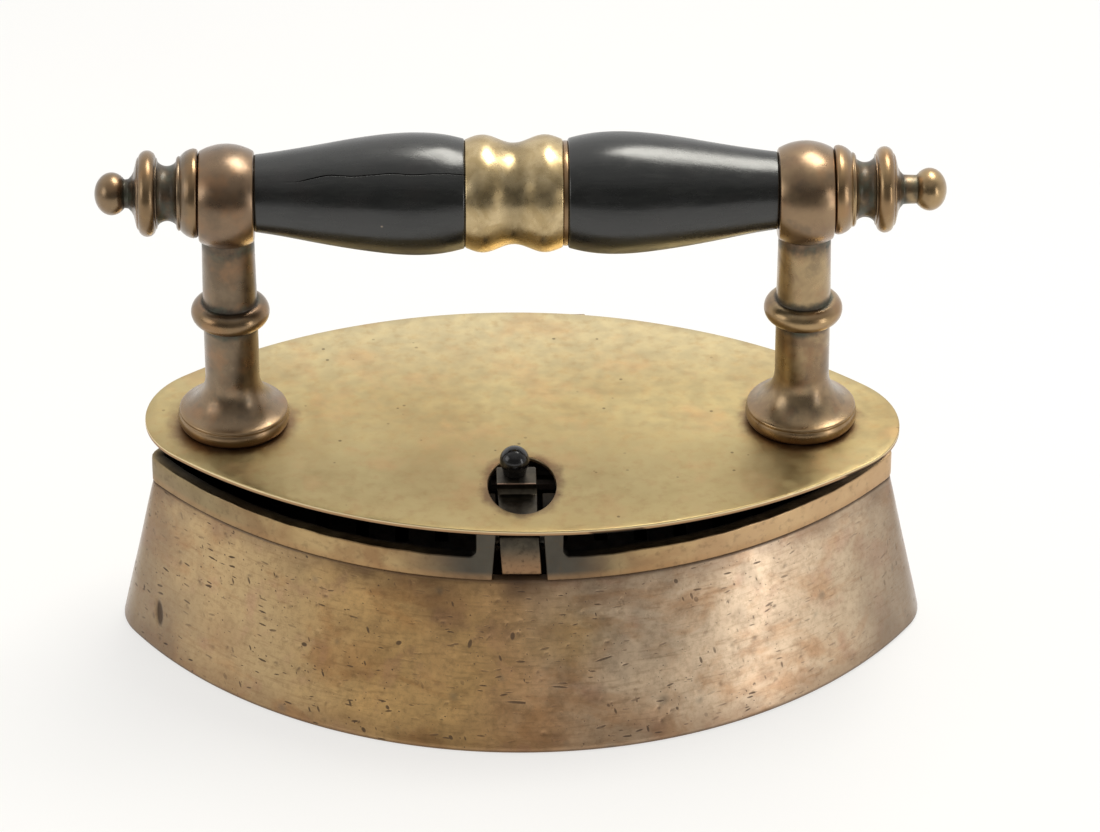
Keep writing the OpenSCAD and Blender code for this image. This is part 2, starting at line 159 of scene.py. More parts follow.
def ring_hole(cx, cy, rx, ry, count):
    """Clockwise ellipse, so that the material is on its left."""
    return [(cx + rx * math.cos(-t), cy + ry * math.sin(-t))
            for t in np.linspace(0, TAU, count, endpoint=False)]


def flipped(points):
    return [(b, a) for a, b in points]


def box_outline(u0, v0, u1, v1):
    return [(u0, v0), (u1, v0), (u1, v1), (u0, v1)]


def bezier(points, count):
    """Points along a cubic curve with four control points."""
    p = [np.array(q, float) for q in points]
    curve = []
    for t in np.linspace(0, 1, count + 1):
        s = 1 - t
        curve.append(tuple(s ** 3 * p[0] + 3 * s * s * t * p[1] + 3 * s * t * t * p[2] + t ** 3 * p[3]))
    return curve


def soften(points, radius, closed=False, turns=3):
    """Rounds each corner of a polyline with a small curve."""
    nearly_straight = 0.94
    p = [np.array(q, float) for q in points]
    count = len(p)
    out = []
    for i in range(count):
        if not closed and i in (0, count - 1):
            out.append(tuple(p[i]))
            continue
        before, here, after = p[i - 1], p[i], p[(i + 1) % count]
        back, ahead = before - here, after - here
        lb, la = np.linalg.norm(back), np.linalg.norm(ahead)
        if -np.dot(back, ahead) / max(lb * la, 1e-12) > nearly_straight:
            out.append(tuple(here))
            continue
        cut = min(radius, 0.45 * lb, 0.45 * la)
        start, end = here + back / lb * cut, here + ahead / la * cut
        for t in np.linspace(0, 1, turns + 1):
            out.append(tuple((1 - t) ** 2 * start + 2 * t * (1 - t) * here + t * t * end))
    return out


def divide(points, spacing, closed=False):
    """Adds points so that no step is longer than spacing."""
    p = [np.array(q, float) for q in points]
    ends = p[1:] + ([p[0]] if closed else [])
    out = []
    for start, end in zip(p, ends):
        length = np.linalg.norm(end - start)
        if length < 1e-6:
            continue
        parts = max(1, math.ceil(length / spacing))
        out += [tuple(start + (end - start) * k / parts) for k in range(parts)]
    if not closed:
        out.append(tuple(p[-1]))
    return out


def inside(loops, points):
    """Even-odd test of points against closed loops."""
    hit = np.zeros(len(points), bool)
    for loop in loops:
        a = np.array(loop, float)
        b = np.roll(a, -1, axis=0)
        for (x0, y0), (x1, y1) in zip(a, b):
            if y0 == y1:
                continue
            crosses = (points[:, 1] >= min(y0, y1)) & (points[:, 1] < max(y0, y1))
            cut = x0 + (points[:, 1] - y0) * (x1 - x0) / (y1 - y0)
            hit ^= crosses & (points[:, 0] < cut)
    return hit


def inset(loop, distance):
    """Moves a closed loop towards its left-hand side, where the material is."""
    p = np.array(loop, float)
    ahead = np.roll(p, -1, axis=0) - p
    ahead /= np.linalg.norm(ahead, axis=1, keepdims=True)
    left = np.stack([-ahead[:, 1], ahead[:, 0]], 1)
    before = np.roll(left, 1, axis=0)
    mitre = (left + before) / np.maximum(1 + (left * before).sum(1, keepdims=True), 0.3)
    return p + mitre * distance


# ---------------------------------------------------------------- meshes

def make_mesh(name, verts, faces, attributes=None):
    """A mesh object from points in millimetres, with outward normals and optional point values."""
    mesh = bpy.data.meshes.new(name)
    mesh.from_pydata((np.asarray(verts, float) * MM).tolist(), [], faces)
    for key, values in (attributes or {}).items():
        store(mesh, key, values)
    obj = bpy.data.objects.new(name, mesh)
    bpy.context.scene.collection.objects.link(obj)
    tidy = bmesh.new()
    tidy.from_mesh(mesh)
    bmesh.ops.recalc_face_normals(tidy, faces=tidy.faces)
    tidy.to_mesh(mesh)
    tidy.free()
    return obj


def store(mesh, key, values, domain="POINT"):
    """Writes one number for each point, or for each face corner, that a material can read."""
    layer = mesh.attributes.get(key) or mesh.attributes.new(key, "FLOAT", domain)
    layer.data.foreach_set("value", np.asarray(values, np.float32))


def places_mm(obj):
    return np.array([v.co for v in obj.data.vertices]) / MM


def combine(obj, others, operation):
    """Applies exact booleans of others to obj, and removes the others."""
    for other in others:
        tool = obj.modifiers.new("tool", "BOOLEAN")
        tool.operation = operation
        tool.solver = "EXACT"
        tool.object = other
        bpy.context.view_layer.update()
        result = bpy.data.meshes.new_from_object(obj.evaluated_get(bpy.context.evaluated_depsgraph_get()))
        obj.modifiers.clear()
        obj.data = result
        bpy.data.objects.remove(other)


def grid_faces(rings, around, closed_rings=False):
    """Quads between rings of points; each ring closes on itself."""
    faces = []
    last = rings if closed_rings else rings - 1
    for i in range(last):
        a, b = i * around, ((i + 1) % rings) * around
        for j in range(around):
            k = (j + 1) % around
            faces.append((a + j, a + k, b + k, b + j))
    return faces


def cap_faces(tip, ring, around):
    """Triangles between one point and a ring."""
    return [(tip, ring * around + j, ring * around + (j + 1) % around) for j in range(around)]


def shape_of_profile(profile, reach, closed):
    """How far each profile point stands proud (+) of or lies below (-) its surroundings, -1 to 1."""
    p = np.array(profile, float)
    if closed:
        p = np.vstack([p, p[:1]])
    run = np.concatenate([[0], np.cumsum(np.linalg.norm(np.diff(p, axis=0), axis=1))])

    def at(s):
        s = s % run[-1] if closed else np.clip(s, 0, run[-1])
        return np.stack([np.interp(s, run, p[:, 0]), np.interp(s, run, p[:, 1])], 1)

    here = run[:len(profile)]
    before, after = at(here - reach), at(here + reach)
    along = after - before
    normal = np.stack([-along[:, 1], along[:, 0]], 1)
    normal /= np.maximum(np.linalg.norm(normal, axis=1, keepdims=True), 1e-9)
    proud = ((at(here) - (before + after) / 2) * normal).sum(1)
    return np.clip(proud / (0.7 * reach), -1, 1)


def lathe(name, profile, place, around=160, reach=0.8, wobble=0.0):
    """Turns a profile of (distance along, radius) about an axis.

    A profile that starts and ends on the axis gives a solid; any other is a closed tube section.
    place maps (along, side, side) to the frame. wobble makes all but the bore uneven.
    """
    bore_zone = 3.2
    solid = profile[0][1] < 1e-6 and profile[-1][1] < 1e-6
    body = profile[1:-1] if solid else profile
    proud = shape_of_profile(profile, reach, not solid)
    verts, values = [], []
    turn = np.arange(around) * TAU / around
    for i, (u, r) in enumerate(body):
        radii = np.full(around, float(r))
        if wobble and r > bore_zone:
            bend = [noise.noise((math.cos(t) * 1.3, math.sin(t) * 1.3, u / 14)) for t in turn]
            radii += wobble * np.array(bend)
        verts += [place(u, q * math.cos(t), q * math.sin(t)) for q, t in zip(radii, turn)]
        values += [proud[i + 1 if solid else i]] * around
    rings = len(body)
    faces = grid_faces(rings, around, closed_rings=not solid)
    if solid:
        for ring, (u, _) in ((0, profile[0]), (rings - 1, profile[-1])):
            verts.append(place(u, 0, 0))
            values.append(0)
            faces += cap_faces(len(verts) - 1, ring, around)
    return make_mesh(name, verts, faces, {"proud": values})


def drill(x, y, z, r, half, around=40):
    """A cutting cylinder along X."""
    return lathe("drill", [(-half, 0), (-half, r), (half, r), (half, 0)], along_x(x, 1, z, y), around)


def along_x(x, direction, z, y=0.0):
    return lambda u, a, b: (x + direction * u, y + a, z + b)


def along_handle(x, direction):
    """Places a turned piece along the handle, whose middle sags a little."""
    middle = (LEFT_COLUMN.x + RIGHT_COLUMN.x) / 2
    half = RIGHT_COLUMN.x - middle

    def place(u, a, b):
        px = x + direction * u
        return px, a, AXIS_Z + b - HANDLE_BOW * max(0, 1 - ((px - middle) / half) ** 2)

    return place


def upright(x, y, z, lean=0.0):
    """Places a turned piece on end; lean is how far it shifts along X for each millimetre of height."""
    return lambda u, a, b: (x + a + lean * u, y + b, z + u)


def sweep_x(x0):
    """Places a Y-Z outline so that its depth runs along X from x0."""
    return lambda u, v, w: (x0 + w, u, v)


def sweep_y(y0):
    """Places an X-Z outline so that its depth runs along Y from y0."""
    return lambda u, v, w: (u, y0 + w, v)


def fill(loops, spacing, edge):
    """Triangles that fill a sheet inside loops, stepped in by edge.

    Gives the points, the triangles, and which point each point of the loops has become.
    """
    clear = 0.55 * spacing
    sheet_loops = [inset(loop, edge) for loop in loops]
    border = np.vstack(sheet_loops)
    low, high = border.min(0), border.max(0)
    grid = [(u, v) for u in np.arange(low[0] + spacing / 2, high[0], spacing)
            for v in np.arange(low[1] + spacing / 2, high[1], spacing)]
    grid = np.array(grid).reshape(-1, 2)
    keep = inside([inset(loop, edge + clear) for loop in loops], grid)
    at_once = 2000
    for start in range(0, len(grid), at_once):
        chunk = grid[start:start + at_once]
        near = np.sqrt(((chunk[:, None] - border[None]) ** 2).sum(2)).min(1)
        keep[start:start + at_once] &= near > clear
    edges, first = [], 0
    for loop in loops:
        count = len(loop)
        edges += [(first + i, first + (i + 1) % count) for i in range(count)]
        first += count
    points = [Vector(p) for p in np.vstack([border, grid[keep]])]
    made = delaunay_2d_cdt(points, edges, [], 0, 1e-7)
    flat = np.array([tuple(v) for v in made[0]])
    triangles = [tuple(f) for f in made[2]]
    middles = np.array([flat[list(f)].mean(0) for f in triangles])
    kept = inside(sheet_loops, middles)
    home = {old: new for new, olds in enumerate(made[3]) for old in olds}
    return flat, [f for f, ok in zip(triangles, kept) if ok], home


def slab(name, loops, thick, edge, spacing, place, turns=3):
    """A plate with rounded edges. loops are closed outlines with the material on their left.

    place maps (u, v, depth) to the frame; depth runs from 0 to thick.
    """
    loops = [divide(loop, spacing, closed=True) for loop in loops]
    flat, triangles, home = fill(loops, spacing, edge)
    total = len(flat)
    verts = [place(u, v, 0.0) for u, v in flat] + [place(u, v, thick) for u, v in flat]
    faces = []
    for f in triangles:
        faces += [f, tuple(total + i for i in reversed(f))]
    stations = [math.pi / 2 * k / turns for k in range(1, turns + 1)]
    depths = [(edge * (1 - math.sin(t)), edge * (1 - math.cos(t))) for t in stations]
    depths += [(d, thick - w) for d, w in reversed(depths)]
    first = 0
    for loop in loops:
        count = len(loop)
        rings = [[home[first + i] for i in range(count)]]
        for d, w in depths:
            start = len(verts)
            verts += [place(u, v, w) for u, v in inset(loop, d)]
            rings.append(list(range(start, start + count)))
        rings.append([total + home[first + i] for i in range(count)])
        for a, b in zip(rings, rings[1:]):
            faces += [(a[i], a[(i + 1) % count], b[(i + 1) % count], b[i]) for i in range(count)]
        first += count
    used = sorted({i for f in faces for i in f})
    renumber = {old: new for new, old in enumerate(used)}
    return make_mesh(name, [verts[i] for i in used], [tuple(renumber[i] for i in f) for f in faces])


def finish_piece(obj, body, look, node, sharp=32):
    """Gives a piece its finish, shades it, hides the CAD node it stands for and lets it ride."""
    obj.data.materials.clear()
    obj.data.materials.append(look)
    obj.data.polygons.foreach_set("use_smooth", [True] * len(obj.data.polygons))
    obj.data.set_sharp_from_angle(angle=math.radians(sharp))
    obj.data.update()
    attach(obj, body)
    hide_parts(node)


# ---------------------------------------------------------------- finishes

def colour(code):
    """Linear colour from an sRGB hex code."""
    parts = [int(code[i:i + 2], 16) / 255 for i in (1, 3, 5)]
    return [p / 12.92 if p <= 0.04045 else ((p + 0.055) / 1.055) ** 2.4 for p in parts] + [1.0]


class Nodes:
    """Short helpers that add shader nodes to a tree. Apart from add, each gives back a socket."""

    def __init__(self, tree):
        self.tree = tree

    def add(self, kind, inputs, **settings):
        made = self.tree.nodes.new("ShaderNode" + kind)
        for key, value in settings.items():
            setattr(made, key, value)
        for key, value in inputs.items():
            self.feed(made.inputs[key], value)
        return made

    def feed(self, socket, value):
        """Links an output to a socket, or sets the socket's own value."""
        if isinstance(value, bpy.types.NodeSocket):
            self.tree.links.new(value, socket)
        else:
            socket.default_value = value

    def calc(self, operation, a, b=0.0):
        return self.add("Math", {0: a, 1: b}, operation=operation).outputs[0]

    def times(self, a, b):
        return self.calc("MULTIPLY", a, b)

    def plus(self, a, b):
        return self.calc("ADD", a, b)

    def less(self, a, b):
        return self.calc("SUBTRACT", a, b)

    def rest(self, a):
        return self.calc("SUBTRACT", 1.0, a)

    def most(self, first, *others):
        for other in others:
            first = self.calc("MAXIMUM", first, other)
        return first

    def size_of(self, a):
        return self.calc("ABSOLUTE", a)

    def ramp(self, value, low, high, to_low=0.0, to_high=1.0):
        """A smooth step from to_low, where value is low, to to_high, where it is high."""
        ends = {"From Min": low, "From Max": high, "To Min": to_low, "To Max": to_high}
        return self.add("MapRange", {"Value": value, **ends}, interpolation_type="SMOOTHSTEP").outputs[0]


class Look(Nodes):
    """A material, built up as a base colour, some relief and a roughness. Sizes are in millimetres."""

    def __init__(self, name):
        self.material = bpy.data.materials.new(name)
        self.material.use_nodes = True
        super().__init__(self.material.node_tree)
        self.shader = self.tree.nodes["Principled BSDF"]
        self.mm = self.scaled(self.add("TexCoord", {}).outputs["Object"], (1 / MM,) * 3)
        self.base = None
        self.relief = None

    def vector(self, operation, a, b):
        return self.add("VectorMath", {0: a, 1: b}, operation=operation)

    def scaled(self, vector, factors):
        return self.vector("MULTIPLY", vector, factors).outputs[0]

    def turned(self, vector, angle):
        turn = self.add("VectorRotate", {"Vector": vector, "Angle": angle}, rotation_type="Z_AXIS")
        return turn.outputs[0]

    def axis(self, letter):
        return self.add("SeparateXYZ", {0: self.mm}).outputs[letter]

    def value(self, key):
        """Numbers stored on the mesh under a name."""
        return self.add("Attribute", {}, attribute_name=key).outputs["Fac"]

    def noise(self, size, detail=3.0, rough=0.55, stretch=(1, 1, 1), bend=0.0, shift=0.0):
        """Cloudy pattern from 0 to 1; shift moves it, so that two patterns of a size differ."""
        place = self.scaled(self.mm, [1 / (size * s) for s in stretch])
        moved = self.vector("ADD", place, (shift, shift * 1.7, shift * 0.6)).outputs[0]
        inputs = {"Vector": moved, "Scale": 1.0, "Detail": detail, "Roughness": rough, "Distortion": bend}
        return self.add("TexNoise", inputs).outputs[0]

    def cells(self, size, stretch=(1, 1, 1)):
        """Distance to the nearest point of a scattered pattern."""
        place = self.scaled(self.mm, [1 / (size * s) for s in stretch])
        return self.add("TexVoronoi", {"Vector": place, "Scale": 1.0}).outputs["Distance"]

    def dashes(self, flat, cell, long, turn, share, widest, soft=0.05):
        """Scattered dashes, at most one to a cell, in a share of the cells: 1 inside and 0 outside."""
        place = self.scaled(self.turned(flat, turn), (1 / (cell * long), 1 / cell, 1))
        made = self.add("TexVoronoi", {"Vector": place, "Scale": 1.0}, voronoi_dimensions="2D")
        chance = self.add("SeparateColor", {0: made.outputs["Color"]}).outputs[0]
        chosen = self.most(self.less(chance, 1 - share), 0)
        radius = self.times(self.calc("POWER", chosen, 2), widest / share ** 2)
        return self.ramp(self.less(made.outputs["Distance"], radius), -soft, 0.0, 1, 0)

    def stroke(self, flat, middle, half_long, half_wide, turn):
        """One spindle-shaped mark: 1 inside and 0 outside."""
        moved = self.vector("SUBTRACT", flat, (*middle, 0)).outputs[0]
        place = self.scaled(self.turned(moved, -turn), (1 / half_long, 1 / half_wide, 1))
        length = self.add("VectorMath", {0: place}, operation="LENGTH").outputs["Value"]
        return self.ramp(length, 0.6, 1.0, 1, 0)

    def reach(self, centre, squeeze=(1, 1, 1)):
        """Distance from a point, with each axis divided by squeeze."""
        place = self.scaled(self.mm, [1 / s for s in squeeze])
        return self.vector("DISTANCE", place, [c / s for c, s in zip(centre, squeeze)]).outputs["Value"]

    def mix(self, amount, a, b):
        return self.add("Mix", {0: amount, 6: a, 7: b}, data_type="RGBA").outputs[2]

    def start(self, first, second, amount):
        """Begins the base as a mix of two colours."""
        self.base = self.mix(amount, colour(first), colour(second))

    def tint(self, code, amount, share=None):
        """Lays a colour over the base, as far as amount says, times share."""
        amount = amount if share is None else self.times(amount, share)
        self.base = self.mix(amount, self.base, colour(code))

    def bump(self, height, depth):
        """Adds relief of a depth."""
        inputs = {"Strength": 1.0, "Distance": depth * MM, "Height": height}
        if self.relief is not None:
            inputs["Normal"] = self.relief
        self.relief = self.add("Bump", inputs).outputs[0]

    def done(self, rough, metallic=1.0, **more):
        inputs = {"Base Color": self.base, "Roughness": rough, "Metallic": metallic, "Normal": self.relief}
        inputs.update({key.replace("_", " "): value for key, value in more.items()})
        for key, value in inputs.items():
            if value is not None:
                self.feed(self.shader.inputs[key], value)
        return self.material


IGNORE = 1000    # an axis squeezed this much adds nothing to a distance


def body_marks(look, flat, along, total):
    """Pits and scratches, 0 to 1: scattered ones in clusters and single larger ones, plus dark lines along
    both edges, the one under the rim being painted shade.
    """
    marks = look.value("pit")
    kinds = ((1.6, 5.0, 0.05, 0.8, 0.17), (2.2, 4.2, -0.2, 0.7, 0.15), (2.8, 2.6, 1.2, 0.5, 0.14),
             (3.0, 8.0, -0.06, 0.5, 0.08), (1.3, 1.3, 0.4, 0.6, 0.16), (5.0, 1.4, 0.8, 0.5, 0.13))
    for cell, long, turn, share, widest in kinds:
        marks = look.most(marks, look.dashes(flat, cell, long, turn, share, widest))
    crowd = look.ramp(look.noise(13, detail=3, shift=23), 0.4, 0.56, 0.35, 1)
    fewer = look.ramp(along, 24, 82, 1, 0.4)
    marks = look.times(marks, look.times(crowd, fewer))
    singles = (((total - 1.4, 11.7), 3.9, 0.36, -0.06), ((18.5, 20.5), 2.6, 0.32, 0.2),
               ((total - SCAR_RUN, SCAR_Z), 3.4, 1.7, math.pi / 2), ((total - 3.0, 26.5), 1.1, 0.7, 1.4),
               ((total - 54, 18.0), 0.9, 0.55, 0.1), ((8.0, 15.0), 2.4, 0.25, -0.1),
               ((total - 30, 23.0), 0.9, 0.6, 0.4), ((total - 13, 24.5), 1.3, 0.6, 1.3))
    for middle, half_long, half_wide, turn in singles:
        marks = look.most(marks, look.stroke(flat, middle, half_long, half_wide, turn))
    z = look.axis("Z")
    # Dark lines along the bottom edge and under the rim; the one under the rim is painted shade.
    return look.most(marks, look.ramp(z, 1.3, 0.4, 0, 0.75),
                     look.ramp(z, BODY_HIGH.z - 0.9, BODY_HIGH.z - 0.2, 0, 0.8))


def body_brass(total):
    """Cast brass: golden at the left, brown in the middle, pale and pink at the right, pitted.

    total is the distance round the wall, which the pits are laid out on.
    """
    look = Look("body_brass")
    x, z = look.axis("X"), look.axis("Z")
    along = look.plus(x, look.times(look.less(look.noise(46, detail=4, bend=0.6), 0.5), 60))
    look.start("#c0a375", "#e2b778", look.ramp(along, -75, -28))
    for tone, low, high in (("#dfb07c", -28, 6), ("#d9c0a2", -8, 34), ("#c8b193", 66, 92)):
        look.tint(tone, look.ramp(along, low, high))
    patch = look.noise(17, detail=6, rough=0.62, stretch=(1.3, 1.3, 0.8), bend=0.7)
    look.tint("#b07a46", look.ramp(patch, 0.47, 0.66), 0.55)
    look.tint("#b98a70", look.ramp(look.noise(9, detail=5, shift=7), 0.52, 0.7), 0.4)
    blot_noise = look.noise(12, detail=5, rough=0.6, shift=3)
    # Blots of colour, each (x, z, near, far, amount, tone); the last is a dark blot below the slot.
    smudges = ((-20, 33, 7, 18, 0.6, "#80583c"), (-38, 20, 8, 21, 0.2, "#96683f"),
               (9, 26, 9, 23, 0.35, "#e0b96e"), (-72, 12, 7, 19, 0.4, "#8f6b48"),
               (28, 15, 9, 25, 0.5, "#e6caa8"), (SLOT_X, BODY_HIGH.z, 6, 14, 0.75, "#4a382e"))
    for px, pz, near, far, amount, tone in smudges:
        away = look.plus(look.reach((px, 0, pz), (1, IGNORE, 0.8)), look.times(blot_noise, 14))
        look.tint(tone, look.ramp(away, near, far, amount, 0))
    # Darker towards the top below the rim, towards the bottom, and towards both tips.
    look.tint("#6a4f3d", look.ramp(look.plus(z, look.times(blot_noise, 14)), 39, 47), 0.5)
    look.tint("#7d5a3a", look.ramp(look.less(z, look.times(blot_noise, 12)), 2, -5), 0.45)
    ends = look.plus(look.size_of(x), look.times(blot_noise, 16))
    look.tint("#6e5c49", look.ramp(ends, 80, 100), 0.7)
    fine = look.noise(1.6, detail=6, rough=0.7)
    look.tint("#80603e", look.ramp(fine, 0.4, 0.75, 0, 0.4))
    drag = look.noise(0.7, detail=4, stretch=(9, 9, 1), shift=17)
    look.tint("#86633f", look.ramp(drag, 0.5, 0.75, 0, 0.35))
    flat = look.add("CombineXYZ", {"X": look.value("run"), "Y": z}).outputs[0]
    marks = body_marks(look, flat, along, total)
    look.tint("#6a6456", look.dashes(flat, 8.0, 1.2, 0.3, 0.5, 0.22, soft=0.2), 0.45)
    inner = look.value("inner")
    marks = look.times(marks, look.rest(inner))
    # Dark tone of the pits, scratches and both edge lines; the line under the rim is painted shade.
    look.tint("#453220", marks, 0.85)
    look.tint("#241f1b", inner)
    look.bump(look.noise(22, detail=3), 0.25)
    look.bump(fine, 0.03)
    look.bump(look.rest(marks), 0.03)
    rough = look.ramp(look.noise(6, detail=5, shift=5), 0.3, 0.75, 0.32, 0.48)
    rough = look.plus(look.plus(rough, look.times(marks, 0.3)), look.times(inner, 0.4))
    coat = look.times(look.rest(look.most(inner, marks)), 0.7)
    metal = look.rest(look.times(marks, 0.75))
    return look.done(rough, metal, Coat_Weight=coat, Coat_Roughness=0.24)


def rim_brass():
    """Brass of the rim: golden along the rails, grey-brown round the posts as painted shade under the cover,
    lighter at the bottom as painted reflection, sooty inside.
    """
    look = Look("rim_brass")
    x, y, z = look.axis("X"), look.axis("Y"), look.axis("Z")
    look.start("#b79c70", "#9b7b57", look.ramp(look.noise(14, detail=5, bend=0.5), 0.35, 0.65))
    look.tint("#cfae86", look.ramp(x, 20, 60, 0, 0.7))
    look.tint("#82765c", look.ramp(x, -52, -78, 0, 0.7))
    # Grey-brown on the posts' fronts near the slot: painted shade under the cover.
    near = look.ramp(look.size_of(look.less(x, SLOT_X)), 10, 34, 0.96, 0.0)
    look.tint("#4b4943", look.times(near, look.ramp(y, -20, -38)))
    # Lighter golden towards the rail's lower edge: painted reflection.
    look.tint("#b28a60", look.ramp(z, BODY_HIGH.z + 2.6, BODY_HIGH.z + 0.6), 0.4)
    look.tint("#5d4c3a", look.ramp(look.noise(1.8, detail=5), 0.5, 0.75, 0, 0.35))
    soot = look.value("inner")
    look.tint("#191715", soot)
    look.bump(look.noise(1.4, detail=5), 0.04)
    rough = look.ramp(look.noise(5, detail=4), 0.3, 0.7, 0.34, 0.5)
    return look.done(look.plus(rough, look.times(soot, 0.4)))


def cover_brass():
    """Satin olive-gold sheet, paler to the back as painted light, with a painted highlight along its top
    edge, stained round the columns and the latch hole.
    """
    look = Look("cover_brass")
    y, z = look.axis("Y"), look.axis("Z")
    look.start("#b4a275", "#a69166", look.ramp(look.noise(30, detail=4, bend=0.5), 0.35, 0.65))
    # Paler towards the back: painted light.
    look.tint("#cebf98", look.ramp(y, 4, 48, 0, 0.75))
    look.tint("#c4ae7c", look.ramp(y, -14, -40, 0, 0.6))
    mottle = look.noise(3.2, detail=6, rough=0.68)
    look.tint("#a8875a", look.ramp(mottle, 0.45, 0.72, 0, 0.4))
    look.tint("#c0986c", look.ramp(look.noise(11, detail=5, shift=9), 0.5, 0.7, 0, 0.35))
    cloud = look.noise(5, detail=4, shift=4)
    stains = []
    for px, py, squeeze, near, far in ((LEFT_COLUMN.x, LEFT_COLUMN.y, 1, 15.5, 20),
                                       (RIGHT_COLUMN.x, RIGHT_COLUMN.y, 1, 15.5, 19),
                                       (HOLE_X, HOLE_Y, 1.4, 11, 14)):
        away = look.plus(look.reach((px, py, 0), (1, squeeze, IGNORE)), look.times(cloud, 6))
        stains.append(look.ramp(away, near, far, 0.75, 0.0))
    look.tint("#6d4f3b", look.most(*stains))
    specks = look.ramp(look.cells(4.2), 0.07, 0.12, 1, 0)
    sparse = look.ramp(look.noise(10, detail=2, shift=13), 0.5, 0.62)
    look.tint("#4a3a26", look.times(specks, sparse), 0.6)
    # Pale line along the top of the edge: painted highlight.
    look.tint("#f2dfb4", look.ramp(z, COVER_HIGH.z - 0.15, COVER_HIGH.z - 0.3), 0.7)
    look.tint("#8c5c3a", look.ramp(z, COVER_HIGH.z - 0.4, COVER_HIGH.z - 0.7), 0.75)
    under = look.value("inner")
    look.tint("#2a2520", under)
    look.bump(look.noise(0.5, detail=4, stretch=(30, 1, 1)), 0.012)
    look.bump(mottle, 0.02)
    look.bump(look.noise(18, detail=3), 0.12)
    rough = look.ramp(look.noise(4, detail=5, shift=2), 0.3, 0.75, 0.34, 0.5)
    return look.done(look.plus(rough, look.times(under, 0.35)))


def turned_bronze():
    """Handled bronze: pinkish brown to olive gold, lighter towards the feet as painted light, bright on the
    beads, grimy in the grooves.
    """
    look = Look("turned_bronze")
    x, z = look.axis("X"), look.axis("Z")
    tone = look.noise(10, detail=3, bend=0.6)
    look.start("#7c6a54", "#655542", look.ramp(tone, 0.35, 0.65))
    olive = look.mix(look.ramp(tone, 0.4, 0.66), colour("#b0976f"), colour("#896f52"))
    look.base = look.mix(look.ramp(x, 0, 60, 0, 0.8), look.base, olive)
    head = look.times(look.ramp(z, AXIS_Z - 14, AXIS_Z - 12), look.calc("LESS_THAN", look.size_of(x), 75.7))
    look.tint("#836a52", head, 0.7)
    # Lighter towards the feet: painted light.
    look.tint("#9c8264", look.ramp(z, COVER_HIGH.z + 16, COVER_HIGH.z + 9), 0.5)
    look.tint("#5d5142", look.ramp(look.noise(5, detail=4, shift=6), 0.5, 0.72, 0, 0.45))
    look.tint("#97704e", look.ramp(look.noise(7, detail=3, shift=15), 0.5, 0.7, 0, 0.45))
    proud = look.value("proud")
    grain = look.noise(1.5, detail=5, rough=0.65, shift=2)
    look.tint("#a07c4c", look.ramp(look.plus(proud, look.times(grain, 0.5)), 0.3, 1.0), 0.35)
    cloud = look.noise(3.4, detail=4, shift=19)
    grime = look.ramp(look.less(look.times(look.plus(grain, cloud), 0.45), proud), 0.56, 1.15)
    look.tint("#38342c", grime, 0.85)
    look.tint("#5d6455", look.times(grime, look.ramp(cloud, 0.45, 0.62)), 0.5)
    look.bump(grain, 0.012)
    look.bump(look.noise(0.35, detail=3), 0.004)
    rough = look.ramp(look.noise(3, detail=5, shift=3), 0.3, 0.75, 0.26, 0.4)
    return look.done(look.plus(rough, look.times(grime, 0.3)), Coat_Weight=0.5, Coat_Roughness=0.28)


def ferrule_brass():
    """Polished yellow brass with brown tarnish that is heavier underneath."""
    look = Look("ferrule_brass")
    proud = look.value("proud")
    look.start("#c8b38b", "#b19b72", look.ramp(look.noise(6, detail=5, bend=0.7), 0.35, 0.65))
    tarnish = look.noise(3.4, detail=6, rough=0.66, stretch=(0.7, 1, 1), shift=5)
    tarnish = look.ramp(tarnish, 0.45, 0.78)
    low = look.ramp(look.axis("Z"), AXIS_Z + 4, AXIS_Z - 6, 0.25, 0.6)
    look.tint("#7b6648", look.times(tarnish, low))
    look.tint("#6e5f45", look.ramp(proud, 0.05, -0.25, 0, 0.45))
    look.tint("#4a3b26", look.ramp(look.less(look.times(tarnish, 0.4), proud), 0.2, 0.9), 0.5)
    look.bump(look.noise(0.9, detail=4), 0.003)
    return look.done(look.ramp(look.noise(2.2, detail=5, shift=3), 0.3, 0.75, 0.24, 0.36))


def crack_line(look):
    """A hairline on the upper front of the left grip, close to a plane through the handle's axis."""
    x, across, up = look.axis("X"), look.axis("Y"), look.less(look.axis("Z"), AXIS_Z)
    off = look.plus(look.times(across, math.sin(CRACK_LIFT)), look.times(up, math.cos(CRACK_LIFT)))
    off = look.plus(off, look.times(look.less(look.noise(14, detail=1), 0.5), 3.0))
    line = look.ramp(look.size_of(off), 0.06, 0.2, 1, 0)
    line = look.times(line, look.ramp(x, CRACK_START, CRACK_START + 8))
    line = look.times(line, look.calc("LESS_THAN", x, CRACK_END))
    return look.times(line, look.calc("GREATER_THAN", up, 0))


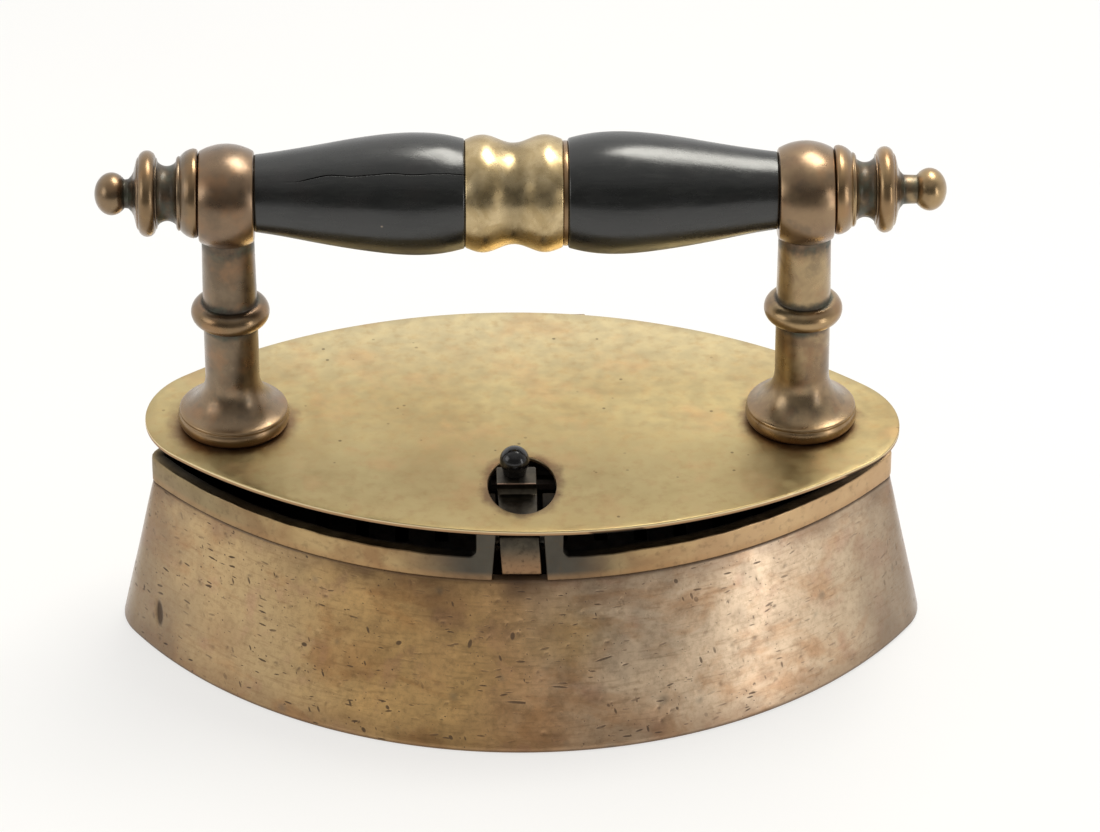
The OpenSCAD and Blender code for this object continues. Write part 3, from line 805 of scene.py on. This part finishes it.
def ebonised_wood():
    """Black-stained wood: satin, faint lengthwise grain, nicks, one hairline crack, dull underneath."""
    look = Look("ebonised_wood")
    grain = look.noise(0.7, detail=6, rough=0.65, stretch=(22, 1, 1), bend=0.2)
    look.start("#0f100e", "#1d1e1b", look.ramp(grain, 0.4, 0.75))
    look.tint("#1d1816", look.ramp(look.noise(14, detail=4), 0.45, 0.7, 0, 0.5))
    nicks = look.ramp(look.cells(9.5, stretch=(1.3, 1, 1)), 0.022, 0.04, 1, 0)
    look.tint("#8a7a68", look.times(nicks, look.ramp(look.noise(13, detail=2, shift=21), 0.5, 0.58)))
    crack = crack_line(look)
    look.tint("#040303", crack)
    look.bump(grain, 0.015)
    look.bump(look.noise(9, detail=3), 0.05)
    look.bump(look.noise(0.5, detail=3, stretch=(8, 1, 1), shift=12), 0.006)
    look.bump(look.rest(crack), 0.15)
    rough = look.noise(5, detail=6, rough=0.6, stretch=(2, 1, 1), shift=4)
    rough = look.plus(look.ramp(rough, 0.3, 0.75, 0.2, 0.34),
                      look.ramp(look.axis("Z"), AXIS_Z - 6, AXIS_Z - 12, 0, 0.3))
    shine = look.times(look.rest(crack), 0.75)
    return look.done(look.most(rough, crack), metallic=0.0, Specular_IOR_Level=shine)


def black_knob():
    """Polished black horn."""
    look = Look("black_knob")
    look.start("#0c0c0c", "#191716", look.ramp(look.noise(2, detail=4), 0.4, 0.7))
    look.bump(look.noise(1.2, detail=4), 0.006)
    rough = look.ramp(look.noise(1.0, detail=4, shift=3), 0.35, 0.75, 0.14, 0.3)
    return look.done(rough, metallic=0.0, Specular_IOR_Level=0.55)


def latch_brass():
    """Dark brass of the latch lever, lighter and coppery towards its foot as painted light, with a painted
    highlight on its head's front edge.
    """
    look = Look("latch_brass")
    y, z = look.axis("Y"), look.axis("Z")
    look.start("#575044", "#454038", look.ramp(look.noise(4, detail=5), 0.35, 0.65))
    # Lighter and coppery towards the foot: painted light.
    look.tint("#a4805e", look.ramp(z, LEVER_LOW.z + 9, LEVER_LOW.z + 1), 0.8)
    look.tint("#332d25", look.ramp(look.noise(1.2, detail=5, shift=3), 0.5, 0.72, 0, 0.5))
    # Pale band along the head's front edge: painted highlight.
    painted_edge_highlight = look.times(look.ramp(look.size_of(look.less(y, HEAD_FRONT_Y)), 0.5, 0.15),
                     look.ramp(z, LEVER_HIGH.z - 1.3, LEVER_HIGH.z - 0.6))
    look.tint("#c9a892", painted_edge_highlight, 0.85)
    look.bump(look.noise(1.1, detail=5), 0.03)
    return look.done(look.ramp(look.noise(2, detail=4, shift=5), 0.3, 0.7, 0.32, 0.48))


def sooty_iron(name, tone):
    """Rough iron with rust and soot."""
    look = Look(name)
    look.start(tone, "#3a2c22", look.ramp(look.noise(5, detail=6, rough=0.65), 0.4, 0.65))
    look.tint("#0e0d0c", look.ramp(look.noise(2, detail=5, shift=3), 0.5, 0.75, 0, 0.6))
    look.bump(look.noise(0.9, detail=6, rough=0.7), 0.08)
    return look.done(look.ramp(look.noise(3, detail=4, shift=7), 0.3, 0.7, 0.6, 0.85), metallic=0.6)


def dull_steel():
    """Steel with fine marks along X."""
    look = Look("dull_steel")
    look.start("#8a857c", "#5d5347", look.ramp(look.noise(3, detail=5), 0.4, 0.65))
    look.bump(look.noise(0.5, detail=4, stretch=(6, 1, 1)), 0.01)
    return look.done(look.ramp(look.noise(1.5, detail=4, shift=2), 0.3, 0.7, 0.32, 0.55))


# ---------------------------------------------------------------- body

def stamp_pits(run, height, pits):
    """Depth and darkness of cast pits on a grid of distances round the wall and heights up it."""
    darkest_from = 0.08
    depth = np.zeros((len(height), len(run)))
    dark = np.zeros_like(depth)
    total = run[-1] + run[1]
    for s, h, long, wide, lean, deep in pits:
        du = (run - s + total / 2) % total - total / 2
        near_s = np.abs(du) < long * 2 + 1
        near_h = np.abs(height - h) < long * 2 + 1
        u, v = np.meshgrid(du[near_s], height[near_h] - h)
        along = u * math.cos(lean) + v * math.sin(lean)
        across = -u * math.sin(lean) + v * math.cos(lean)
        shape = np.exp(-((along / long) ** 2 + (across / wide) ** 2) ** 1.4)
        area = np.ix_(near_h, near_s)
        depth[area] = np.maximum(depth[area], deep * shape)
        dark[area] = np.maximum(dark[area], shape * min(1, deep / darkest_from))
    return depth, dark


def body_pits(length, height):
    """Shallow casting pits, and one drop-shaped scar near the left tip."""
    draw = random.Random(12)
    pits = []
    for _ in range(260):
        pits.append((draw.uniform(0, length), draw.uniform(1.5, height - 1), draw.uniform(0.3, 0.75),
                     draw.uniform(0.22, 0.34), draw.gauss(0, 0.45), draw.uniform(0.05, 0.15)))
    pits.append((length - SCAR_RUN, SCAR_Z, 2.4, 1.2, math.pi / 2, 0.4))
    return pits


def wall_swell(wall):
    """Soft waves of the wall, -1 to 1: noise at every few points, spread over those between."""
    rings_apart, points_apart = 6, 8
    waves = np.array([[noise.noise((p[0] / 19, p[1] / 19, p[2] / 15)) for p in ring[::points_apart]]
                      for ring in wall[::rings_apart]])
    rows = np.interp(np.arange(len(wall)), np.arange(0, len(wall), rings_apart), np.arange(len(waves)))
    columns = np.arange(wall.shape[1]) / points_apart
    low_row = np.floor(rows).astype(int)
    high_row = np.minimum(low_row + 1, len(waves) - 1)
    part = (rows - low_row)[:, None]
    spread = np.array([np.interp(columns, np.arange(len(w) + 1), np.append(w, w[0])) for w in waves])
    return spread[low_row] * (1 - part) + spread[high_row] * part


def store_run(mesh, step, around):
    """Gives each face corner its distance round the wall, unbroken where the rings close."""
    column = np.empty(len(mesh.loops), np.int64)
    mesh.loops.foreach_get("vertex_index", column)
    column %= around
    starts = np.empty(len(mesh.polygons), np.int64)
    totals = np.empty(len(mesh.polygons), np.int64)
    mesh.polygons.foreach_get("loop_start", starts)
    mesh.polygons.foreach_get("loop_total", totals)
    furthest = np.repeat(np.maximum.reduceat(column, starts), totals)
    column = np.where(furthest - column > around / 2, column + around, column)
    store(mesh, "run", column * step, "CORNER")


def build_body():
    """Ruled walls between the sole and the rim, with rounded edges, pits and a hollow."""
    height = BODY_HIGH.z
    sole_edge, top_edge, floor_edge = 1.1, 0.45, 3
    quarter = np.radians([30, 60, 90])
    angles = even_angles(SOLE_SIZE, 0.47)
    around = len(angles)
    normal = np.stack([np.cos(angles), np.sin(angles)], 1)
    sole_ring = oval_points(SOLE_SIZE, angles)
    top_ring = oval_points(shrunk(RIM_SIZE, SEAM_STEP), angles)
    inner_sole = oval_points((SOLE_SIZE[0] - WALL - 2, SOLE_SIZE[1] - WALL - 4, SOLE_SIZE[2] - WALL), angles)
    inner_top = oval_points(shrunk(RIM_SIZE, WALL), angles)

    def wall_ring(z):
        return sole_ring + (top_ring - sole_ring) * (z / height)

    rings = [(sole_ring * share, 0.0) for share in (0.25, 0.5, 0.75, 0.9)]
    for t in np.radians([0, 22, 45, 68]):
        z = sole_edge * (1 - math.cos(t))
        rings.append((wall_ring(z) - normal * sole_edge * (1 - math.sin(t)), z))
    wall_z = np.linspace(sole_edge, height - top_edge, 74)
    wall = slice(len(rings), len(rings) + len(wall_z))
    rings += [(wall_ring(z), z) for z in wall_z]
    for t in quarter:
        rings.append((wall_ring(height) - normal * top_edge * (1 - math.cos(t)),
                      height - top_edge * (1 - math.sin(t))))
    rings.append((inner_top + normal * 0.4, height))
    first_inner = len(rings)
    rings.append((inner_top, height - 0.4))
    for z in np.linspace(height - 3, SOLE + floor_edge, 3):
        share = (z - SOLE) / (height - SOLE)
        rings.append((inner_sole + (inner_top - inner_sole) * share, z))
    for t in quarter:
        rings.append((inner_sole - normal * floor_edge * (1 - math.cos(t)),
                      SOLE + floor_edge * (1 - math.sin(t))))
    rings += [(inner_sole * share, SOLE) for share in (0.8, 0.55, 0.3)]

    points = np.array([np.column_stack([ring, np.full(around, z)]) for ring, z in rings])
    run = np.concatenate([[0], np.cumsum(np.linalg.norm(np.diff(sole_ring, axis=0), axis=1))])
    depth, dark = stamp_pits(run, wall_z, body_pits(run[-1], height))
    fade = np.minimum(1, (height - top_edge - wall_z) / 2) * np.minimum(1, (wall_z - sole_edge) / 2)
    push = (wall_swell(points[wall]) * 0.13 - depth) * fade[:, None]
    points[wall, :, :2] += normal[None] * push[:, :, None]
    pit, inner = np.zeros((2, len(rings), around))
    pit[wall] = dark * fade[:, None]
    inner[first_inner:] = 1

    verts = points.reshape(-1, 3).tolist() + [(0, 0, 0), (0, 0, SOLE)]
    last = len(rings) - 1
    under, floor = len(verts) - 2, len(verts) - 1
    faces = grid_faces(len(rings), around) + cap_faces(under, 0, around) + cap_faces(floor, last, around)
    values = {"pit": [*pit.ravel(), 0, 0], "inner": [*inner.ravel(), 0, 1]}
    body = make_mesh("body_shell", verts, faces, values)
    store_run(body.data, run[1], around)
    finish_piece(body, "iron_base", body_brass(run[-1] + run[1]), "body_casting")


# ---------------------------------------------------------------- rim

def rail_with_posts():
    """The rail and the faces of both posts, cut from one strip that follows the oval round."""
    run, run_angles = oval_run(RIM_SIZE)
    total = run[-1]
    low_z, rail_z, top_z = BODY_HIGH.z, BODY_HIGH.z + RAIL_H, COVER_LOW.z
    left_end, right_end = total + (SLOT_X - POST_REACH), SLOT_X + POST_REACH
    corner = 1.8

    def around_rim(s, z, w):
        angle = np.interp(s, run, run_angles)
        (px, py), = oval_points(RIM_SIZE, [angle])
        return (px - w * math.cos(angle), py - w * math.sin(angle), z)

    def rough_edge(s):
        return 0.22 * noise.noise((s / 5, 0.5, 0.2)) + 0.1 * noise.noise((s / 1.3, 4.5, 0.2))

    outline = [(SLOT_X + SLOT_LOW, low_z), (total + SLOT_X - SLOT_LOW, low_z),
               (total + SLOT_X - SLOT_HIGH, top_z), (left_end, top_z)]
    outline += arc(left_end - corner, rail_z + corner, corner, 0, -75, 5)
    outline += [(s, rail_z + rough_edge(s)) for s in np.linspace(left_end - corner, right_end + corner, 280)]
    outline += arc(right_end + corner, rail_z + corner, corner, 255, 180, 5)
    outline += [(right_end, top_z), (SLOT_X + SLOT_HIGH, top_z)]
    return slab("rim_gallery", [soften(outline, 0.35, closed=True)], WALL, 0.38, 1.5, around_rim)


def rim_blocks():
    """Solid posts behind the strip, the bridge between them, and the hinge lugs at the back."""
    low_z, rail_z, top_z = BODY_HIGH.z, BODY_HIGH.z + RAIL_H, COVER_LOW.z
    front_y, back_y = -RIM_SIZE[1], RIM_SIZE[1]
    blocks = []
    tuck = 0.02
    for side in (-1, 1):
        outline = [(SLOT_X + side * u, v) for u, v in
                   ((SLOT_LOW + tuck, low_z), (POST_REACH - tuck, low_z), (POST_REACH - tuck, top_z),
                    (SLOT_HIGH + tuck, top_z))]
        blocks.append(slab("post_block", [soften(outline[::side], 0.3, closed=True)], POST_DEPTH - 1.2,
                           0.3, 1.6, sweep_y(front_y + 1.2)))
    bridge = soften(box_outline(front_y + 4, low_z - 2, -26, low_z + tuck), 0.4, closed=True)
    bridge_x = SLOT_X - POST_REACH + 0.05
    blocks.append(slab("bridge", [bridge], 2 * POST_REACH - 0.1, 0.3, 2.0, sweep_x(bridge_x)))
    knuckle_r, leaf_half, gap, lug_w = 2.4, 10.0, 0.3, 6.0
    for x in (-leaf_half - gap - lug_w, leaf_half + gap):
        outline = arc(HINGE.y, HINGE.z, knuckle_r, -125, 125, 18)
        outline += [(back_y - WALL + 0.6, rail_z + 0.9), (back_y - WALL + 0.6, low_z + 0.5),
                    (back_y - 0.5, low_z + 0.5)]
        blocks.append(slab("lug", [soften(outline, 0.5, closed=True)], lug_w, 0.35, 1.2, sweep_x(x)))
    return blocks


def build_rim(look):
    """Rail with two posts at its front ends, the bridge between them and the hinge lugs."""
    rim = rail_with_posts()
    combine(rim, rim_blocks(), "UNION")
    combine(rim, [drill(*PIVOT, PIN_BORE_R, POST_REACH + 1), drill(*HINGE, PIN_BORE_R, 20)], "DIFFERENCE")
    places = places_mm(rim)
    ring = oval_points(RIM_SIZE, np.linspace(0, TAU, 720, endpoint=False))
    depth = np.array([np.sqrt(((ring - p[:2]) ** 2).sum(1)).min() for p in places])
    at_hinge = places[:, 1] > RIM_SIZE[1] - 0.3
    store(rim.data, "inner", np.where(at_hinge, 0, np.clip((depth - 0.9) / 1.6, 0, 1) * 0.85))
    finish_piece(rim, "iron_base", look, "rim_frame")


# ---------------------------------------------------------------- cover

def build_cover():
    """Thin plate with soft edges and a slight wave, holed for the latch and the column studs."""
    outline = oval_points(COVER_SIZE, even_angles(COVER_SIZE, 1.6))
    turn = np.array([[math.cos(COVER_SKEW), -math.sin(COVER_SKEW)],
                     [math.sin(COVER_SKEW), math.cos(COVER_SKEW)]])
    loops = [(outline @ turn.T).tolist(), ring_hole(HOLE_X, HOLE_Y, HOLE_HALF_X, HOLE_HALF_Y, 84)]
    for column in (LEFT_COLUMN, RIGHT_COLUMN):
        loops.append(ring_hole(column.x, column.y, STUD_HOLE_R, STUD_HOLE_R, 32))

    def place(u, v, w):
        wave = 0.1 * noise.noise((u / 26, v / 20, 3.3)) - 0.06
        return (u, v, COVER_HIGH.z - w + min(wave, -0.005))

    cover = slab("cover_sheet", loops, COVER_HIGH.z - COVER_LOW.z, 0.3, 1.8, place)
    store(cover.data, "inner", places_mm(cover)[:, 2] < COVER_LOW.z + 0.2)
    finish_piece(cover, "cover", cover_brass(), "cover_plate")


# ---------------------------------------------------------------- handle

def column_profile(rise, stud_low, foot_r):
    """Foot, flare, shaft and bead: (height above the cover, radius)."""
    shaft_r, upper_r = 6.4, 6.15
    bead_z, bead_r = 30.7, 2.85
    foot_h, flare_h = 4.2, 9.0
    foot_top = foot_r - 0.45
    reach = foot_top - shaft_r
    flare_r = (reach ** 2 + flare_h ** 2) / (2 * reach)
    start = math.degrees(math.asin(flare_h / flare_r))
    profile = [(stud_low, 0), (stud_low, 2.6), (stud_low + 0.4, 3.0), (0, 3.0), (0, foot_r - 1)]
    profile += flipped(arc(foot_r - 2.9, 2.0, 2.9, -38, 30, 10))
    profile += [(foot_h - 0.25, foot_top + 0.1), (foot_h, foot_top - 0.1)]
    profile += flipped(arc(shaft_r + flare_r, foot_h + flare_h, flare_r, 180 + start - 2, 180, 22))
    profile += [(bead_z - bead_r - 0.35, shaft_r), (bead_z - bead_r, shaft_r + 0.05)]
    profile += flipped(arc(shaft_r, bead_z, bead_r, -86, 86, 22))
    profile += [(bead_z + bead_r, shaft_r + 0.05), (bead_z + bead_r + 0.35, shaft_r - 0.02)]
    profile += [(rise - 11.9, upper_r), (rise - 6, upper_r), (rise - 6, 0)]
    return profile


def barrel_profile(r, half):
    """Section of a ball with both sides cut flat."""
    face_r = math.sqrt(r ** 2 - half ** 2) - 0.35
    start = math.degrees(math.acos(half / r)) + 1.5
    return [(-half, 0), (-half, face_r), *arc(0, 0, r, 180 - start, start, 45), (half, face_r), (half, 0)]


def build_column(node, look):
    """Turned column with a barrel-shaped head, bored for the handle's rod."""
    centre = centre_of(node)
    low, high = mm_box(node)
    top = COVER_HIGH.z
    rise = AXIS_Z - top
    head_x = centre.x + HANDLE_LEAN
    head_r, head_half, drop = 12.3, 6.5, 0.9
    profile = divide(soften(column_profile(rise, low.z - top, (high.x - low.x) / 2), 0.22), 0.45)
    column = lathe(node + "_turned", profile, upright(centre.x, centre.y, top, HANDLE_LEAN / rise),
                   around=176, reach=2.6)
    profile = divide(soften(barrel_profile(head_r, head_half), 0.3), 0.5)
    head = lathe("head", profile, along_x(head_x, 1, AXIS_Z - drop, centre.y), around=176)
    combine(column, [head], "UNION")
    combine(column, [drill(centre.x, centre.y, AXIS_Z, ROD_BORE_R, 9, around=48)], "DIFFERENCE")
    places = places_mm(column) - np.array([head_x, centre.y, AXIS_Z])
    from_stem = np.hypot(places[:, 0], places[:, 1])
    up = places[:, 2]
    proud = np.empty(len(places), np.float32)
    column.data.attributes["proud"].data.foreach_get("value", proud)
    on_head = (up > -drop - head_r - 0.2) & ((from_stem > 6.25) | (up > -8))
    edge = np.clip(1 - (head_half - np.abs(places[:, 0])) / 1.0, 0, 1)
    joint = np.clip(1 - (from_stem - 6.2) / 2.0, 0, 1) * (up < -8)
    proud = np.where(on_head, 0.5 * edge - 0.8 * joint, proud)
    proud = np.where(~on_head & (up > -17), -0.5 * np.clip((up + 17) / 4, 0, 1), proud)
    store(column.data, "proud", proud)
    finish_piece(column, "cover", look, node, sharp=38)


def sleeve(name, profile, round_by, spacing, place, **settings):
    """A turned piece that is bored right through for the handle's rod."""
    length = profile[-1][0]
    tube = [(0, ROD_BORE_R), *profile, (length, ROD_BORE_R)]
    return lathe(name, divide(soften(tube, round_by, closed=True), spacing, closed=True), place, **settings)


def build_grip(node, look, direction):
    """Swelling wooden grip, a little uneven all round."""
    low, high = mm_box(node)
    length = high.x - low.x
    start_x = (high.x if direction < 0 else low.x) + HANDLE_LEAN
    curve = bezier([(0.25, 12.75), (length * 0.29, 16.7), (length * 0.58, 11.9), (length - 0.25, 9.0)], 90)
    grip = sleeve(node + "_turned", [(0, 12.4), *curve, (length, 8.7)], 0.3, 0.55,
                  along_handle(start_x, direction), around=220, wobble=0.12)
    finish_piece(grip, "cover", look, node, sharp=40)


def build_ferrule(look):
    """Brass sleeve between the grips, with three beads."""
    low, high = mm_box("centre_ferrule")
    length = high.x - low.x
    waist, bead, bead_x = 11.8, 13.7, 7.25
    curve = []
    for u in np.linspace(0.2, length - 0.2, 80):
        swing = math.cos(math.pi * (u - length / 2) / bead_x)
        curve.append((u, (bead + waist) / 2 - (bead - waist) / 2 * swing))
    end_r = curve[0][1] - 0.25
    ferrule = sleeve("ferrule_turned", [(0, end_r), *curve, (length, end_r)], 0.25, 0.4,
                     along_handle(low.x + HANDLE_LEAN, 1), around=200, reach=2.0)
    finish_piece(ferrule, "cover", look, "centre_ferrule", sharp=40)


def build_washer(look):
    low, high = mm_box("grip_washer")
    washer = sleeve("washer_turned", [(0, 12.25), (high.x - low.x, 12.25)], 0.3, 0.4,
                    along_handle(low.x + HANDLE_LEAN, 1), around=160)
    finish_piece(washer, "cover", look, "grip_washer", sharp=40)


def build_finial(node, look, direction):
    """Collar with a step, cove, ridged disc, neck and a slightly flattened ball."""
    low, high = mm_box(node)
    length = high.x - low.x
    start_x = (high.x if direction < 0 else low.x) + HANDLE_LEAN
    ball_half, ball_r, neck_r = 4.0, 5.0, 3.45
    ball_x = length - ball_half
    socket = [(9, 0), (9, ROD_BORE_R), (0.12, ROD_BORE_R)]
    collar = [(0.12, 9.95), (0.4, 10.3), (1.1, 10.45), (1.9, 10.28), (2.8, 9.88), (3.5, 9.35), (3.95, 8.9),
              (4.1, 8.62), (4.3, 8.62), (4.5, 8.72), (4.85, 8.5), (5.1, 8.0)]
    cove = arc(7.25, 9.15, 2.75, 206, 322, 18)
    disc = [(9.6, 8.25), (9.75, 8.2), (9.9, 8.55), *arc(11.85, 8.0, 2.05, 150, 25, 18), (13.75, 8.7),
            (13.85, 8.45), (14.05, 8.4), (14.3, 7.9), (14.6, 6.7), (15.0, 5.1), (15.5, 4.2)]
    neck = [(16.2, neck_r), (ball_x - 3.3, neck_r - 0.1)]
    ball = [(ball_x + ball_half * math.cos(t), ball_r * math.sin(t))
            for t in np.radians(np.linspace(138, 0, 26))]
    finial = lathe(node + "_turned", divide(soften(socket + collar + cove + disc + neck + ball, 0.18), 0.35),
                   along_x(start_x, direction, AXIS_Z), around=150, reach=2.2)
    finish_piece(finial, "cover", look, node, sharp=40)


# ---------------------------------------------------------------- latch

def lever_lean(z):
    """Sideways lean of the latch lever at a height."""
    return -1.1 * (z - 48) / 16


def build_lever(look):
    """Lever with a ledge, a notch and a flat head."""
    floor_z, ledge_z = BODY_HIGH.z + 1.2, COVER_LOW.z - 0.9
    notch_z, top_z = COVER_LOW.z + 1, LEVER_HIGH.z
    nose_y = LEVER_HIGH.y
    outline = [(PIVOT.y, PIVOT.z - 2.8), (-38.5, floor_z), (-44.0, floor_z)]
    outline += arc(-26.5, floor_z + 5, 18.3, 195, 163, 12)
    outline += [(-39.6, ledge_z), (-32.5, ledge_z), (-28.7, ledge_z - 0.5), (-27.9, ledge_z + 0.6),
                (-28.2, notch_z + 0.3), (-29.6, notch_z + 0.9), (HEAD_FRONT_Y, top_z), (nose_y - 0.4, top_z),
                (nose_y - 0.35, COVER_LOW.z), (nose_y - 0.05, COVER_LOW.z - 0.5),
                (nose_y - 0.05, COVER_LOW.z - 1.6), (-25.5, COVER_LOW.z - 2.0)]
    outline += arc(PIVOT.y, PIVOT.z, 3.1, 20, -85, 10)
    outline = soften(outline, 0.3, closed=True)[::-1]
    lever = slab("latch_bar", [outline], LEVER_HIGH.x - LEVER_LOW.x, 0.4, 0.7,
                 lambda u, v, w: (LEVER_LOW.x + w + lever_lean(v), u, v))
    combine(lever, [drill(*PIVOT, PIN_BORE_R + 0.03, 9)], "DIFFERENCE")
    finish_piece(lever, "latch", look, "latch_lever", sharp=40)


def build_knob(look):
    """Black ball whose stem sits in the lever's head."""
    low, high = mm_box("latch_knob")
    centre = (low + high) / 2
    r = (high.x - low.x) / 2
    top_z, ball_z, stem_r = LEVER_HIGH.z, high.z - r, 0.95
    profile = [(top_z - 1.9, 0), (top_z - 1.9, stem_r), (top_z + 0.02, stem_r), (top_z + 0.02, KNOB_FOOT_R)]
    profile += flipped(arc(0, ball_z, r, -30, 90, 33))
    knob = lathe("latch_ball", divide(soften(profile, 0.1), 0.3),
                 upright(centre.x + lever_lean(top_z), centre.y, 0), around=96)
    finish_piece(knob, "latch", look, "latch_knob", sharp=50)


# ---------------------------------------------------------------- CAD pieces that are kept

def dress(node, look, edge=0.2):
    """Gives a CAD node its finish, with its edges eased by a modifier."""
    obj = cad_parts[node]
    obj.data.materials.clear()
    obj.data.materials.append(look)
    ease = obj.modifiers.new("ease", "BEVEL")
    ease.width = edge * MM
    ease.segments = 2
    ease.limit_method = "ANGLE"
    ease.angle_limit = math.radians(50)
    ease.use_clamp_overlap = True


# ---------------------------------------------------------------- studio, in metres

MIDDLE = Vector((0, 0, 0.06))    # what the lights and the camera point at


def area_light(name, place, size, power, tint):
    """Rectangular light that faces the iron."""
    light = bpy.data.lights.new(name, "AREA")
    light.shape = "RECTANGLE"
    light.size, light.size_y = size
    light.energy = power
    light.color = tint
    obj = bpy.data.objects.new(name, light)
    obj.location = place
    obj.rotation_mode = "QUATERNION"
    obj.rotation_quaternion = (MIDDLE - Vector(place)).to_track_quat("-Z", "Y")
    bpy.context.scene.collection.objects.link(obj)


def build_floor():
    """Pale floor that glows a little, less so towards the back."""
    half = 6.0
    mesh = bpy.data.meshes.new("floor")
    mesh.from_pydata([(u, v, 0) for u, v in box_outline(-half, -half, half, half)], [], [(0, 1, 2, 3)])
    floor = bpy.data.objects.new("floor", mesh)
    bpy.context.scene.collection.objects.link(floor)
    look = Look("pale_floor")
    look.start("#d6d5d3", "#d8d7d5", look.noise(60, detail=3, shift=5))
    look.tint("#cdcdcd", look.ramp(look.axis("Y"), 60, 420))
    glow = look.base
    look.start("#8b8a88", "#8d8c8a", look.noise(60, detail=3))
    mesh.materials.append(look.done(0.6, metallic=0.0, Emission_Color=glow, Emission_Strength=1.0,
                                    Specular_IOR_Level=0.2))


def build_world():
    """Surroundings that are bright behind the iron and dark on the camera's side."""
    world = bpy.data.worlds.new("studio")
    bpy.context.scene.world = world
    world.use_nodes = True
    nodes = Nodes(world.node_tree)
    way = nodes.add("SeparateXYZ", {0: nodes.add("TexCoord", {}).outputs["Generated"]}).outputs
    shade = world.node_tree.nodes["Background"]
    back = nodes.ramp(way["Y"], -0.7, 0.45, 0.155, 1.0)
    nodes.feed(shade.inputs["Strength"], nodes.most(back, nodes.ramp(way["Z"], 0.3, 1.0, 0.0, 0.55)))
    nodes.feed(shade.inputs["Color"], (1.0, 0.997, 0.985, 1))


def build_studio():
    build_world()
    area_light("right_box", (0.80, -0.52, 0.22), (0.15, 0.5), 1.15, (1, 0.985, 0.965))
    area_light("left_box", (-0.95, -0.35, 0.5), (0.5, 0.5), 1.6, (1, 0.99, 0.97))
    area_light("top_box", (0.33, 0.42, 1.15), (0.62, 0.5), 10.0, (1, 0.98, 0.9))
    build_floor()


def build_camera():
    """Long lens, looking down at the latch side."""
    data = bpy.data.cameras.new("camera")
    camera = bpy.data.objects.new("camera", data)
    bpy.context.scene.collection.objects.link(camera)
    elevation, azimuth, roll = math.radians(32.5), math.radians(-1.1), math.radians(0.23)
    distance = 1.5
    back = Vector((math.sin(azimuth) * math.cos(elevation), -math.cos(azimuth) * math.cos(elevation),
                   math.sin(elevation)))
    camera.location = MIDDLE + back * distance
    camera.rotation_mode = "QUATERNION"
    camera.rotation_quaternion = ((-back).to_track_quat("-Z", "Y")
                                  @ Matrix.Rotation(roll, 3, "Z").to_quaternion())
    data.sensor_width = 36
    data.lens = 207
    data.shift_x = 0.0252
    data.shift_y = -0.014
    data.clip_start, data.clip_end = 0.05, 30
    scene = bpy.context.scene
    scene.camera = camera
    scene.view_settings.view_transform = "Standard"


# ---------------------------------------------------------------- the iron

def build_iron():
    rim = rim_brass()
    bronze = turned_bronze()
    wood = ebonised_wood()
    steel = dull_steel()
    iron = sooty_iron("grate_iron", "#2a2724")
    sheet = sooty_iron("sheet_iron", "#3a3530")
    build_body()
    build_rim(rim)
    build_cover()
    for side, direction in (("left", -1), ("right", 1)):
        build_column("column_" + side, bronze)
        build_grip("grip_" + side, wood, direction)
        build_finial("finial_" + side, bronze, direction)
    build_ferrule(ferrule_brass())
    build_washer(bronze)
    build_lever(latch_brass())
    build_knob(black_knob())
    for node in ("fire_grate", "grate_pegs"):
        dress(node, iron)
    for node in ("heat_shield", "shield_spacers", "nut_washers", "column_nuts", "keeper_staple"):
        dress(node, sheet)
    for node in ("handle_rod", "hinge_pin", "leaf_screws", "latch_pin", "latch_spring", "spring_rivet"):
        dress(node, steel, edge=0.1)
    dress("hinge_leaf", rim)


build_iron()
build_studio()
build_camera()
